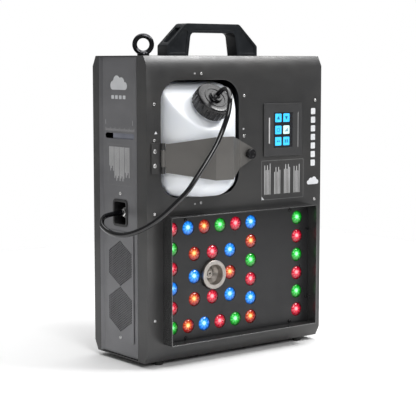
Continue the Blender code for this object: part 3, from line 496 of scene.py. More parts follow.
def turned_piece(node, name, profile, place, axis, steps, look, body="root", smooth=35, ring=True):
    """A turned piece that stands for a CAD node, closed to a ring unless it reaches its axis."""
    piece(turned(name, profile, place, axis, steps, ring, smooth), look, body, [node])


def arc(centre, radius, start, end, steps):
    """Points on an arc, from start to end in degrees."""
    turns = [radians(start + (end - start) * i / steps) for i in range(steps + 1)]
    return [(centre[0] + radius * cos(a), centre[1] + radius * sin(a)) for a in turns]


def circle(u, v, radius, steps=32):
    return arc((u, v), radius, 0, 360 * (steps - 1) / steps, steps - 1)


def rounded(corners, steps=6):
    """Closed outline through corners of (u, v, radius), each corner turned into an arc."""
    points = []
    for i, (u, v, radius) in enumerate(corners):
        corner = Vector((u, v))
        before = (Vector(corners[i - 1][:2]) - corner).normalized()
        after = (Vector(corners[(i + 1) % len(corners)][:2]) - corner).normalized()
        if radius <= 0:
            points.append((u, v))
            continue
        half = before.angle(after) / 2
        middle = corner + (before + after).normalized() * (radius / sin(half))
        start = corner + before * (radius / tan(half)) - middle
        end = corner + after * (radius / tan(half)) - middle
        for step in range(steps + 1):
            points.append(tuple(middle + start.slerp(end, step / steps).normalized() * radius))
    return points


def rectangle(low_u, low_v, high_u, high_v, radius=0.0, steps=6):
    corners = [(low_u, low_v), (high_u, low_v), (high_u, high_v), (low_u, high_v)]
    return rounded([(u, v, radius) for u, v in corners], steps)


def centred(u, v, half_u, half_v, radius=0.0):
    return rectangle(u - half_u, v - half_v, u + half_u, v + half_v, radius)


def plate(name, outlines, start, end, direction, smooth=30):
    """Flat outline with holes between two places.

    "Y": points are (across, down), start and end are behind. "X": points are (behind, down), start
    and end are across. "Z": points are (across, behind), start and end are down.
    """
    curve = bpy.data.curves.new(name, "CURVE")
    curve.dimensions = "2D"
    curve.fill_mode = "BOTH"
    curve.extrude = abs(end - start) / 2
    middle = (start + end) / 2
    origin, axes, sign = {
        "Y": (at(0, middle, 0), (RIGHT, UP, FORWARD), -1),
        "X": (at(middle, 0, 0), (BACKWARD, UP, RIGHT), -1),
        "Z": (at(0, 0, middle), (RIGHT, BACKWARD, UP), 1),
    }[direction]
    for outline in outlines:
        spline = curve.splines.new("POLY")
        spline.points.add(len(outline) - 1)
        spline.use_cyclic_u = True
        for point, (u, v) in zip(spline.points, outline):
            point.co = (u, sign * v, 0, 1)
    maker = link(bpy.data.objects.new(name, curve))
    bpy.context.view_layer.update()
    mesh = bpy.data.meshes.new_from_object(maker.evaluated_get(bpy.context.evaluated_depsgraph_get()))
    bpy.data.objects.remove(maker)
    bpy.data.curves.remove(curve)
    bm = bmesh.new()
    bm.from_mesh(mesh)
    bpy.data.meshes.remove(mesh)
    bmesh.ops.remove_doubles(bm, verts=bm.verts, dist=1e-6)
    matrix = Matrix.Translation(origin) @ Matrix(axes).transposed().to_4x4()
    bmesh.ops.transform(bm, matrix=matrix, verts=bm.verts)
    return closed(name, bm, smooth)


def merged(name, objects, smooth=None):
    """One object from several, with their modifiers applied and their solids left side by side."""
    bm = bmesh.new()
    for obj in objects:
        link(obj)
    bpy.context.view_layer.update()
    graph = bpy.context.evaluated_depsgraph_get()
    for obj in objects:
        evaluated = obj.evaluated_get(graph)
        mesh = evaluated.to_mesh()
        first = len(bm.verts)
        bm.from_mesh(mesh)
        bm.verts.ensure_lookup_table()
        bmesh.ops.transform(bm, matrix=obj.matrix_world, verts=bm.verts[first:])
        evaluated.to_mesh_clear()
    for obj in objects:
        bpy.data.objects.remove(obj)
    return new_object(name, bm, smooth)


def boolean(obj, other, operation="DIFFERENCE"):
    """Applies a Boolean with another object, which is then removed."""
    link(obj)
    link(other)
    modifier = obj.modifiers.new("cut", "BOOLEAN")
    modifier.operation = operation
    modifier.object = other
    bpy.context.view_layer.update()
    mesh = bpy.data.meshes.new_from_object(obj.evaluated_get(bpy.context.evaluated_depsgraph_get()))
    obj.modifiers.clear()
    obj.data = mesh
    bpy.data.objects.remove(other)
    return obj


def hexagon(angle):
    """Scales a circle to the hexagon round it."""
    sixth = pi / 3
    return 1 / cos((angle + sixth / 2) % sixth - sixth / 2)


def ribs(count, depth):
    """Scales a circle to one with round ribs, each as proud as a share of the radius."""
    return lambda angle: 1 + depth * max(0.0, cos(count * angle)) ** 0.6


def knurls(count, depth):
    """Scales a circle to one with sharp ridges between round hollows."""
    return lambda angle: 1 - depth * abs(sin(count * angle / 2))


def smooth_route(route, spacing):
    """Evenly spaced points on a smooth curve through the route's points."""
    points = [Vector(p) for p in route]
    ends = [2 * points[0] - points[1], *points, 2 * points[-1] - points[-2]]
    fine = []
    for p0, p1, p2, p3 in zip(ends, ends[1:], ends[2:], ends[3:]):
        for step in range(20):
            t = step / 20
            fine.append(0.5 * (2 * p1 + (p2 - p0) * t + (2 * p0 - 5 * p1 + 4 * p2 - p3) * t**2
                               + (3 * p1 - p0 - 3 * p2 + p3) * t**3))
    fine.append(points[-1])
    lengths = [0.0]
    for a, b in zip(fine, fine[1:]):
        lengths.append(lengths[-1] + (b - a).length)
    count = max(2, round(lengths[-1] / spacing))
    result = []
    i = 0
    for step in range(count + 1):
        wanted = lengths[-1] * step / count
        while i < len(fine) - 2 and lengths[i + 1] < wanted:
            i += 1
        share = (wanted - lengths[i]) / max(lengths[i + 1] - lengths[i], 1e-9)
        result.append(fine[i].lerp(fine[i + 1], min(share, 1.0)))
    return result


def swept(name, path, radius, sides=20):
    """Round tube along a path, closed at its ends, whose sides don't twist."""
    bm = bmesh.new()
    rings = []
    side = None
    for i, point in enumerate(path):
        way = (path[min(i + 1, len(path) - 1)] - path[max(i - 1, 0)]).normalized()
        side = way.orthogonal() if side is None else side - way * side.dot(way)
        side.normalize()
        other = way.cross(side)
        turns = [2 * pi * k / sides for k in range(sides)]
        rings.append([bm.verts.new(point + (side * cos(a) + other * sin(a)) * radius)
                      for a in turns])
    for near, far in zip(rings, rings[1:]):
        for k in range(sides):
            n = (k + 1) % sides
            bm.faces.new((near[k], near[n], far[n], far[k]))
    bm.faces.new(rings[0][::-1])
    bm.faces.new(rings[-1])
    return closed(name, bm, 50)


def prism(outline, matrix, low, high):
    """Solid between two heights along the matrix's Z, over a convex outline of (x, y)."""
    bm = bmesh.new()
    lower = [bm.verts.new(matrix @ Vector((x, y, low))) for x, y in outline]
    upper = [bm.verts.new(matrix @ Vector((x, y, high))) for x, y in outline]
    bm.faces.new(lower[::-1])
    bm.faces.new(upper)
    for i in range(len(outline)):
        j = (i + 1) % len(outline)
        bm.faces.new((lower[i], lower[j], upper[j], upper[i]))
    return closed("prism", bm)


# ---- hose


def neck_axis():
    return FORWARD * cos(NECK_TILT) + UP * sin(NECK_TILT)


def along_neck(height):
    """Point on the tilted neck's axis, measured from the bottle's slanted face."""
    return at(BOTTLE_ACROSS, NECK_BEHIND, NECK_DOWN) + neck_axis() * height


def hose_route():
    """From the cap's fitting over the strap, round the front left corner and into the side inlet."""
    places = [(0.108, -0.054, 0.0555), (0.105, -0.0675, 0.0525), (0.1, -0.082, 0.0565),
              (0.0935, -0.0935, 0.0685), (0.086, -0.098, 0.0905), (0.076, -0.0965, 0.116),
              (0.0625, -0.0965, 0.14), (0.046, -0.096, 0.1625), (0.0295, -0.094, 0.1845),
              (0.0135, -0.09, 0.2065), (-0.0035, -0.081, 0.2265), (-0.0185, -0.068, 0.2455),
              (-0.031, -0.0495, 0.2615), (-0.0415, -0.0265, 0.2735), (-0.048, -0.001, 0.28),
              (-0.052, 0.027, 0.2785), (-0.05, 0.0535, 0.2695), (-0.033, 0.074, 0.26),
              (-0.0065, 0.0805, 0.256), (0.0055, 0.0805, 0.256)]
    return [along_neck(0.0378)] + [at(*place) for place in places]


def make_hose():
    path = smooth_route(hose_route(), 0.004)
    hose = link(swept("drinking_hose", path, HOSE_RADIUS))
    hose.data.materials.append(LOOKS["hose"])
    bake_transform(hose)
    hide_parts("fluid_hose")


# ---- casing


def make_casing():
    # The side panels take the lighter side paint, a copy of the body's paint with painted light in it
    for node, look, edge in (("front_shell", "body", 0.0007), ("rear_shell", "body", 0.0007),
                             ("left_side_panel", "side", 0.0006), ("right_side_panel", "side", 0.0006),
                             ("top_panel", "body", 0.0005), ("bottom_panel", "body", 0.0005),
                             ("led_hood", "hood", 0.0005)):
        skin(node, node + "_skin", edge, look)


def button_head(bm, place, axis, radius, height, turn=0.0):
    """Screw head with a domed top and a hexagon socket, standing on a surface."""
    socket = radius * 0.46
    profile = [(0, height * 0.4), (socket * 0.98, height * 0.4, hexagon), (socket, height * 0.95, hexagon),
               (socket * 1.25, height), (radius * 0.75, height * 0.93), (radius * 0.93, height * 0.6),
               (radius, height * 0.25), (radius, 0), (0, 0)]
    add_turned(bm, profile, standing(place, axis) @ Matrix.Rotation(turn, 4, "Z"), 24)


def screws(name, places, axis, radius, height, look):
    bm = bmesh.new()
    for i, place in enumerate(places):
        button_head(bm, at(*place), axis, radius, height, 0.7 * i)
    piece(closed(name, bm, 35), look)


def make_screws():
    front = [(0.0145, down) for down in (0.0767, 0.134, 0.252, 0.425)]
    front += [(0.36, down) for down in (0.076, 0.2493, 0.425)]
    front += [(0.109, 0.029), (0.1993, 0.0659), (0.1993, 0.1332), (0.108, 0.2393)]
    screws("front_screws", [(a, -0.0001, z) for a, z in front], FORWARD, 0.0026, 0.0014, "steel")
    hinge = [(0.0148, -0.0018, down) for down in (0.1515, 0.1745)]
    screws("hinge_screws", hinge, FORWARD, 0.0036, 0.0013, "steel")
    cover = [(0.0024, FAN_BEHIND, down) for down in COVER_SCREWS] + [(SIDE_RECESS, FAN_BEHIND, 0.224)]
    screws("cover_screws", cover, LEFT, 0.0028, 0.0014, "steel")
    plate_rows = [(0.0755, 0.2645), (0.3018, 0.2645), (0.0755, 0.46), (0.3018, 0.46)]
    plate_rows += [(a, z) for a in (0.036, 0.3405) for z in (0.301, 0.42)]
    screws("plate_screws", [(a, -0.0018, z) for a, z in plate_rows], FORWARD, 0.0031, 0.0022,
           "cap")
    right = [(WIDTH - SIDE_RECESS, SIDE_MIDDLE, down) for down in (0.03, 0.16, 0.42, 0.465)]
    screws("right_screws", right, RIGHT, 0.0026, 0.0014, "steel")
    rear = [(a, DEPTH, z) for a in (0.0145, WIDTH - 0.0145) for z in (0.1, 0.2475, 0.395)]
    screws("rear_screws", rear, BACKWARD, 0.0026, 0.0014, "steel")


def make_feet():
    """Turned rubber feet, each with a screw in its hollow."""
    height, radius, seat = 0.008, 0.00775, 0.0003
    profile = [(0, -seat), (radius, -seat), (radius, -0.002)]
    profile += arc((radius - 0.0022, -height + 0.0016), 0.0016, 0, -90, 4)
    profile += [(0.0046, -height), (0.004, -height + 0.0006), (0.0038, -0.0042), (0, -0.0042)]
    inset = FOOT_INSET
    corners = [(a, b) for a in (inset[0], WIDTH - inset[0]) for b in (inset[1], DEPTH - inset[1])]
    heads = bmesh.new()
    for i, (across, behind) in enumerate(corners, 1):
        place = at(across, behind, HEIGHT)
        turned_piece(f"foot_{i}", f"rubber_foot_{i}", profile, place, UP, 32, "rubber", ring=False)
        button_head(heads, place + DOWN * 0.0043, DOWN, 0.003, 0.0018)
    places = [(a, z) for a in (inset[0], WIDTH - inset[0]) for z in (0.04, 0.455)]
    for i, (across, down) in enumerate(places, 1):
        place = at(across, DEPTH, down)
        turned_piece(f"rear_foot_{i}", f"rubber_rear_foot_{i}", profile, place, FORWARD, 32, "rubber",
                     ring=False)
        button_head(heads, place + BACKWARD * 0.0043, BACKWARD, 0.003, 0.0018)
    piece(closed("foot_screws", heads, 35), "steel")


def make_handle():
    """Arched handle with hollowed shoulders, a sunken panel in each leg and a stepped grip."""
    middle, half, thickness = WIDTH / 2, 0.097, 0.027
    top, grip, low = -0.054, -0.039, SIDE_MIDDLE - 0.0135

    def mirror(corners):
        return [(2 * middle - u, v, r) for u, v, r in reversed(corners)]

    left = [(middle - half, -0.0003, 0), (middle - half, -0.017, 0.005), (middle - 0.057, top, 0.01)]
    inner = [(middle - 0.0475, grip, 0.009), (middle - 0.053, -0.0003, 0)]
    outline = rounded(left + mirror(left) + mirror(inner) + inner, 8)
    body = bevelled(plate("carry_handle_body", [outline], low, low + thickness, "Y"), 0.0024, 4, 25)
    body = merged("carry_handle_body", [body])
    leg = [(middle - 0.0915, -0.005, 0.002), (middle - 0.0915, -0.016, 0.003),
           (middle - 0.06, -0.0462, 0.004), (middle - 0.0535, -0.04, 0.003),
           (middle - 0.059, -0.005, 0.002)]
    sink = 0.0012
    for start, end in ((low - 0.001, low + sink), (low + thickness - sink, low + thickness + 0.001)):
        for corners in (leg, mirror(leg)):
            body = boolean(body, plate("panel", [rounded(corners, 4)], start, end, "Y"))
        groove = rectangle(middle - 0.046, -0.044, middle + 0.046, -0.043)
        body = boolean(body, plate("groove", [groove], start, end, "Y"))
    slope = Vector((0.04, 0, 0.037)).normalized()
    for sign in (-1, 1):
        along = Vector((-sign * slope.x, 0, slope.z))
        out = Vector((sign * slope.z, 0, slope.x))
        centre = at(middle + sign * 0.0775, SIDE_MIDDLE, -0.035)
        axes = Matrix((along, along.cross(out) * -1, out))
        matrix = Matrix.Translation(centre) @ axes.transposed().to_4x4()
        pocket = prism(centred(0, 0, 0.018, 0.0082, 0.003), matrix, -0.0065, 0.006)
        body = boolean(body, pocket)
    bevelled(body, 0.0004, 2, 40)
    body = merged("carry_handle_body", [body], 35)
    piece(body, "handle", replaced=["carry_handle"])


def make_eye():
    seat = at(0.052, SIDE_MIDDLE, 0)
    ring_radius, wire = 0.014, 0.004
    collar = [(0, 0.0078), (0.0055, 0.0078), (0.007, 0.0068), (0.0092, 0.0058), (0.01, 0.0046),
              (0.01, 0.001), (0.0096, 0.0004), (0.004, 0.0004), (0.004, -0.012), (0, -0.012)]
    bm = bmesh.new()
    add_turned(bm, collar, Matrix.Translation(seat), 40)
    wire_ring = [(ring_radius + wire * cos(a), wire * sin(a))
                 for a in [2 * pi * i / 20 for i in range(20)]]
    matrix = (Matrix.Translation(seat + UP * (ring_radius + wire + 0.0005))
              @ Matrix.Rotation(radians(-32), 4, "Z") @ Matrix.Rotation(pi / 2, 4, "X"))
    add_turned(bm, wire_ring, matrix, 56, ring=True)
    piece(closed("lifting_eye", bm, 50), "dark_chrome", replaced=["eye_bolt"])


# ---- bottle, cap and strap


def bottle_shape():
    """D-shaped column trimmed by its side and front views, with its slanted shoulder and neck."""
    radius, back, top, bottom = BOTTLE_RADIUS, BOTTLE_BACK, BOTTLE_TOP, BOTTLE_BOTTOM
    plan = arc((BOTTLE_ACROSS, BOTTLE_CENTRE_BEHIND), radius, 0, -180, 48)
    corners = [(u, v, 0) for u, v in plan]
    corners += [(BOTTLE_ACROSS - radius, back, 0.018), (BOTTLE_ACROSS + radius, back, 0.018)]
    column = plate("column", [rounded(corners)], top, bottom, "Z")
    front = BOTTLE_CENTRE_BEHIND - radius
    slant = Vector((-sin(NECK_TILT), cos(NECK_TILT)))
    face = Vector((NECK_BEHIND, NECK_DOWN))
    upper = face + slant * ((top - face.y) / slant.y)
    lower = face + slant * ((front - face.x) / slant.x)
    side = rounded([(back, top, 0.02), (upper.x, top, 0.012), (lower.x, lower.y, 0.03),
                    (front, bottom, 0.03), (back, bottom, 0.014)], 8)
    column = boolean(column, plate("side_view", [side], 0.02, 0.2, "X"), "INTERSECT")
    view = rectangle(BOTTLE_ACROSS - radius, top, BOTTLE_ACROSS + radius, bottom, BOTTLE_CORNER, 12)
    column = boolean(column, plate("front_view", [view], -0.06, 0.1, "Y"), "INTERSECT")
    for turn in (-45, 45):
        column = boolean(column, corner_view(turn), "INTERSECT")
    neck = turned("neck", [(0, 0.0265), (NECK_RADIUS, 0.0265), (NECK_RADIUS, -0.004), (0, -0.004)],
                  along_neck(0), neck_axis(), 48)
    return boolean(column, neck, "UNION")


def corner_view(turn):
    """The bottle's outline from a front corner: round at its near end and out of the way at the other."""
    far, reach = 0.13, 0.16
    side = -1 if turn < 0 else 1
    near = side * BOTTLE_RADIUS
    outline = rounded([(-side * far, BOTTLE_TOP, 0), (near, BOTTLE_TOP, BOTTLE_CORNER),
                       (near, BOTTLE_BOTTOM, BOTTLE_CORNER), (-side * far, BOTTLE_BOTTOM, 0)], 12)
    middle = at(BOTTLE_ACROSS, BOTTLE_CENTRE_BEHIND, 0)
    matrix = (Matrix.Translation(middle) @ Matrix.Rotation(radians(-turn), 4, "Z")
              @ Matrix.Rotation(-pi / 2, 4, "X"))
    return prism(outline, matrix, -reach, reach)


def make_bottle():
    bottle = bottle_shape()
    remesh = bottle.modifiers.new("even", "REMESH")
    remesh.mode = "VOXEL"
    remesh.voxel_size = 0.0016
    soft = bottle.modifiers.new("soft", "SMOOTH")
    soft.factor = 0.5
    soft.iterations = 22
    piece(merged("bottle_skin", [bottle], 80), "bottle", "bottle_body", ["bottle"])


def make_cap():
    """Cap with round ribs on its skirt, a plain shoulder and a raised ring on its top."""
    inner = NECK_RADIUS + 0.0008
    base = CAP_RADIUS - 0.0002
    rib = ribs(24, 0.045)
    profile = [(0.0065, CAP_HIGH - 0.0004), (0.0165, CAP_HIGH - 0.0004), (0.017, CAP_HIGH + 0.0006),
               (0.019, CAP_HIGH + 0.0006), (0.0196, CAP_HIGH - 0.0004), (base - 0.0042, CAP_HIGH - 0.0002)]
    profile += [(r, h) for r, h in reversed(arc((base - 0.0036, CAP_HIGH - 0.004), 0.0036, 0, 80, 5))]
    profile += [(base, 0.0246), (base, 0.024, rib), (base, 0.0078, rib), (base, 0.0068),
                (base - 0.0008, CAP_LOW), (inner, CAP_LOW), (inner, CAP_HIGH - 0.0022),
                (0.0065, CAP_HIGH - 0.0022)]
    turned_piece("bottle_cap", "screw_cap", profile, along_neck(0), neck_axis(), 240, "cap",
                 "cap", 38)
    fitting = [(0.0022, 0.0368), (0.0043, 0.0368), (0.0049, 0.0362), (0.006, 0.0357), (0.006, 0.0348),
               (0.0064, 0.0345), (0.0092, 0.0345, hexagon), (0.0095, 0.0339, hexagon),
               (0.0095, 0.0318, hexagon), (0.01, 0.0314), (0.0108, 0.0309), (0.0108, CAP_HIGH + 0.0009),
               (0.006, CAP_HIGH + 0.0009), (0.006, 0.027), (0.0095, 0.027), (0.0095, 0.023),
               (0.006, 0.023), (0.006, 0.02), (0.0022, 0.02)]
    turned_piece("cap_fitting", "hose_fitting", fitting, along_neck(0), neck_axis(), 48, "cap",
                 "bottle_body")


def make_strap():
    skin("bottle_strap", "strap_plate", 0.0004, "strap", "strap")
    skin("strap_hinge_leaf", "hinge_leaf_plate", 0.0003, "body")
    front = 0.0021
    radius = 0.00875
    wave = knurls(30, 0.045)
    profile = [(0, front + 0.0088), (0.004, front + 0.0088), (0.0046, front + 0.0095),
               (radius - 0.0012, front + 0.0095), (radius - 0.0003, front + 0.0088, wave),
               (radius, front + 0.008, wave), (radius, front + 0.0022, wave),
               (radius - 0.0005, front + 0.0014, wave), (0.0066, front + 0.0008), (0.0066, front),
               (0.0025, front), (0.0025, -0.0065), (0, -0.0065)]
    turned_piece("strap_knob", "thumbscrew", profile, at(0.209, 0, STRAP_MIDDLE), FORWARD, 240, "cap",
                 "knob", 30, ring=False)


# ---- light field and nozzle

# edge, middle and centre colours of each light
LIGHTS = {
    "r": ("red", (0.5, 0.000, 0.022), (1.00, 0.008, 0.06), (1.6, 0.55, 0.58)),
    "g": ("green", (0.00, 0.34, 0.012), (0.00, 0.76, 0.05), (0.6, 1.7, 0.8)),
    "b": ("blue", (0.00, 0.23, 0.95), (0.00, 0.42, 1.3), (0.7, 1.3, 1.9)),
    "a": ("amber", (0.4, 0.008, 0.006), (0.85, 0.12, 0.015), (1.6, 0.95, 0.3)),
}
LENS_FACETS = 9


def led_places():
    """Across and down of each light: a square of 20, a ring of 8 round the nozzle and a column of 6."""
    def spread(low, high):
        return [low + (high - low) * i / (LEDS_A_SIDE - 1) for i in range(LEDS_A_SIDE)]

    columns, rows = spread(*LED_COLUMNS), spread(*LED_ROWS)
    places = [(x, z) for z in rows for x in columns if x in LED_COLUMNS or z in LED_ROWS]
    steps = (-LED_RING_PITCH, 0, LED_RING_PITCH)
    places += [(NOZZLE[0] + a, NOZZLE[1] + b) for b in steps for a in steps if a or b]
    return places + [(LED_RIGHT_COLUMN, z) for z in rows]


def add_lens(bm, uv, place, turn):
    """Domed lens with shallow petals. Its UVs count lens radii from the bright spot, up and to the left."""
    steps, rings = 27, 7
    spot = Vector((-0.26, 0.16))
    matrix = standing(place, FORWARD)
    grid = []
    for ring in range(rings + 1):
        share = ring / rings
        row = []
        for i in range(steps if ring else 1):
            angle = 2 * pi * i / steps
            petal = 0.00055 * sin(pi * share) * cos(LENS_FACETS * (angle + turn))
            height = 0.0056 * sqrt(1 - (0.97 * share) ** 2) - 0.0004 + petal
            reach = LENS_RADIUS * share
            point = Vector((reach * cos(angle), reach * sin(angle), height))
            row.append((bm.verts.new(matrix @ point), Vector(point.xy) / LENS_RADIUS - spot))
        grid.append(row)
    wall = [(bm.verts.new(matrix @ Vector((LENS_RADIUS * cos(2 * pi * i / steps),
                                           LENS_RADIUS * sin(2 * pi * i / steps), -0.0026))),
             grid[-1][i][1]) for i in range(steps)]
    grid.append(wall)
    for inner, outer in zip(grid, grid[1:]):
        for i in range(steps):
            j = (i + 1) % steps
            corners = [inner[i % len(inner)], outer[i], outer[j]]
            if len(inner) > 1:
                corners.append(inner[j])
            face = bm.faces.new([corner[0] for corner in corners])
            for loop, corner in zip(face.loops, corners):
                loop[uv].uv = corner[1]
    back = bm.faces.new([point for point, _ in reversed(wall)])
    for loop in back.loops:
        loop[uv].uv = (1, 1)


def make_lenses():
    places = led_places()
    for letter, (colour, edge, middle, centre) in LIGHTS.items():
        bm = bmesh.new()
        uv = bm.loops.layers.uv.new("lens")
        for number, (place, light) in enumerate(zip(places, LED_COLOURS)):
            if light == letter:
                add_lens(bm, uv, at(place[0], 0, place[1]), number * 0.4)
        LOOKS[colour] = glow_look(f"lens_{colour}", edge, middle, centre)
        piece(closed(f"{colour}_lenses", bm, 50), colour, replaced=["lens_array"])


def make_light_field():
    low_x, low_z, high_x, high_z = HOOD
    margin = 0.0018
    outline = rectangle(low_x + margin, low_z + margin, high_x - margin, high_z - margin)
    holes = [circle(x, z, LENS_RADIUS + 0.0004, 32) for x, z in led_places()]
    made = plate("lights_plate", [outline, circle(*NOZZLE, 0.025, 48), *holes], -0.0018, -0.0003, "Y")
    piece(bevelled(made, 0.0002, 2), "plate", replaced=["led_plate"])
    seat = at(NOZZLE[0], 0, NOZZLE[1])
    flange = [(0.0174, 0.0085), (0.0233, 0.0085), (0.024, 0.0078), (0.024, -0.004), (0.012, -0.012),
              (0.012, -0.016), (0.0095, -0.016), (0.0095, -0.0106), (0.01, -0.0098), (0.016, -0.0045),
              (0.0164, -0.0036), (0.0168, 0.0075)]
    turned_piece("nozzle_flange", "nozzle_ring", flange, seat, FORWARD, 64, "nozzle",
                 smooth=28)
    tip = [(0.0016, -0.0052), (0.0024, -0.0045), (0.0048, -0.0045), (0.0052, -0.0049), (0.0052, -0.0075),
           (0.0078, -0.008), (0.0085, -0.0087), (0.0085, -0.03), (0.0016, -0.03)]
    turned_piece("nozzle", "nozzle_tip", tip, seat, FORWARD, 40, "nozzle", smooth=28)


# ---- display and prints


def outlines_of_frame(low_u, low_v, high_u, high_v, line, radius=0.0015):
    return [rectangle(low_u, low_v, high_u, high_v, radius, 3),
            rectangle(low_u + line, low_v + line, high_u - line, high_v - line, radius * 0.7, 3)]


def printed(name, outlines, low, high, direction, look):
    piece(plate(name, outlines, low, high, direction), look)


def triangle(u, v, way):
    """Rounded triangle that points up the body for -1 and down for 1."""
    tip, base = v + way * 0.0034, v - way * 0.0026
    return rounded([(u, tip, 0.0004), (u + 0.0036, base, 0.0004), (u - 0.0036, base, 0.0004)], 2)


def signs(number, u, v):
    """Outlines of one of six plain signs, about 7 mm across, round a centre."""
    if number < 2:
        return [triangle(u, v, (-1, 1)[number])]
    if number == 2:
        return [circle(u, v, 0.0034, 20), circle(u, v, 0.0024, 20)]
    if number == 3:
        return [rectangle(left, v + 0.0012 - 0.0018 * i, left + 0.0016, v + 0.0032)
                for i, left in enumerate((u - 0.0034, u - 0.0009, u + 0.0016))]
    if number == 4:
        return [circle(u - 0.0016, v, 0.0014, 14), circle(u + 0.002, v, 0.0014, 14)]
    return [rectangle(left, v - 0.003, left + 0.0022, v + 0.003) for left in (u - 0.0032, u + 0.001)]


def make_display():
    skin("display_bezel", "display_frame", 0.0004, "bezel")
    low_u, low_v, high_u, high_v = SCREEN
    glass = plate("display_window", [rectangle(low_u, low_v, high_u, high_v)], -0.0017, -0.0003, "Y")
    piece(bevelled(glass, 0.0003, 2), "glass", replaced=["display_glass"])
    LOOKS["blue_tile"] = tile_look("tile_blue", (0.03, 0.36, 0.72), (0.06, 0.52, 0.9), 0.9)
    LOOKS["pale_tile"] = tile_look("tile_pale", (0.42, 0.6, 0.58), (0.55, 0.72, 0.7), 0.8)
    tiles, marks = {"blue": [], "pale": []}, []
    for number in range(6):
        u = TILE_COLUMNS[number % 2]
        v = TILE_ROWS[number // 2]
        tiles["pale" if number == 3 else "blue"].append(centred(u, v, 0.007, 0.0072, 0.0014))
        marks += signs(number, u, v)
    printed("display_tiles", tiles["blue"], -0.0019, -0.0016, "Y", "blue_tile")
    printed("display_tile_pale", tiles["pale"], -0.0019, -0.0016, "Y", "pale_tile")
    printed("display_signs", marks, -0.002, -0.00185, "Y", "sign")


def tile_look(name, low, high, strength):
    look = Look(name, low, 0.3)
    share = look.spread(look.noise(160.0, 2.0), 0, 1)
    look.links.new(look.blend(share, low, high), look.shader.inputs["Emission Color"])
    look.set("Emission Strength", strength)
    return look.material


def make_front_prints():
    """Plain lines where the machine has its printed panels: no lettering."""
    low, high = PRINT_LOW, PRINT_HIGH
    lines = outlines_of_frame(0.2385, 0.177, 0.334, 0.244, 0.0005)
    printed("front_label_frame", lines, low, high, "Y", "line")
    bars = []
    for group in range(4):
        for line in range(5):
            u = 0.245 + group * 0.0222 + line * 0.003
            top = 0.185 + 0.004 * ((group * 3 + line * 2) % 4) - (0.003 if line == 4 else 0)
            bars.append(rectangle(u, top, u + 0.0014, 0.235))
    printed("front_label_bars", bars, low, high, "Y", "white_faint")
    corner = [[(0.2385, 0.244), (0.2385, 0.2375), (0.245, 0.244)]]
    corner.append([(0.015, 0.124), (0.018, 0.1195), (0.021, 0.124)])
    printed("front_marks", corner, low, high, "Y", "white")
    on_bezel = [rectangle(0.3185, 0.096, 0.3192, 0.156), rectangle(0.2525, 0.104, 0.255, 0.148)]
    printed("bezel_lines", on_bezel, -0.0023, -0.0021, "Y", "white_faint")
    dots = [centred(a, z, 0.0016, 0.0013) for a, z in ((0.096, 0.0286), (0.1985, 0.1212), (0.0961, 0.2405))]
    printed("screw_marks", dots, low, high, "Y", "white_faint")
    printed("cloud_sign", cloud(0.356, 0.219, 0.0085), low, high, "Y", "white")
    tops = [0.09 + 0.015 * i for i in range(7)]
    blocks = [rectangle(0.351, top, 0.361, top + 0.0105, 0.0012) for top in tops]
    printed("side_blocks", blocks, low, high, "Y", "white")


def cloud(u, v, size):
    """Plain cloud: one outline over four round lobes on a flat base."""
    lobes = [(-1.15, 0.05, 0.42, 90, 265), (-0.48, -0.3, 0.58, 185, 300), (0.4, -0.42, 0.66, 225, 345),
             (1.15, 0.00, 0.47, 275, 450)]
    points = []
    for across, down, radius, start, end in lobes:
        points += arc((u + size * across, v + size * down), size * radius, start, end, 10)
    return [points]


def make_side_prints():
    low, high = SIDE_RECESS + PRINT_LOW, SIDE_RECESS + PRINT_HIGH
    frame_lines = outlines_of_frame(0.048, 0.144, 0.1165, 0.211, 0.0006)
    printed("side_label_frame", frame_lines, low, high, "X", "line")
    bars = []
    for group in range(4):
        for line in range(5):
            t = 0.054 + group * 0.015 + line * 0.0028
            low_end = (0.197, 0.2035, 0.2035, 0.188)[group] - 0.004 * ((line * 2 + group) % 3)
            bars.append(rectangle(t, 0.148, t + 0.0018, low_end))
    printed("side_label_bars", bars, low, high, "X", "white_faint")
    first, last, count = 0.04, 0.121, 31
    ticks = []
    for i in range(count):
        t = first + (last - first) * i / (count - 1)
        ticks.append(rectangle(t, 0.1185 - (0.0018 if i % 5 == 0 else 0), t + 0.0007, 0.1222))
    for t in (0.044, 0.1215):
        ticks.append(rectangle(t, 0.104, t + 0.0008, 0.112))
    printed("level_scale", ticks, low, high, "X", "white_faint")
    printed("level_sight", [rectangle(0.038, 0.124, 0.103, 0.136)], 0.006, 0.0072, "X", "sight")
    printed("side_cloud_sign", cloud(0.083, 0.048, 0.015), low, high, "X", "white")
    starts = [0.064 + 0.011 * i for i in range(4)]
    strips = [rectangle(t, 0.064, t + 0.0075, 0.07, 0.001) for t in starts]
    printed("side_blocks_left", strips, low, high, "X", "white")


# ---- left side cover, inlet and fans


def grille_places(behind, down):
    """Holes on a triangular grid inside a hexagon that stands on its point."""
    places = []
    for column in range(-GRILLE_RINGS, GRILLE_RINGS + 1):
        count = 2 * GRILLE_RINGS + 1 - abs(column)
        for i in range(count):
            places.append((behind + column * GRILLE_PITCH * sqrt(3) / 2,
                           down + (i - (count - 1) / 2) * GRILLE_PITCH))
    return places


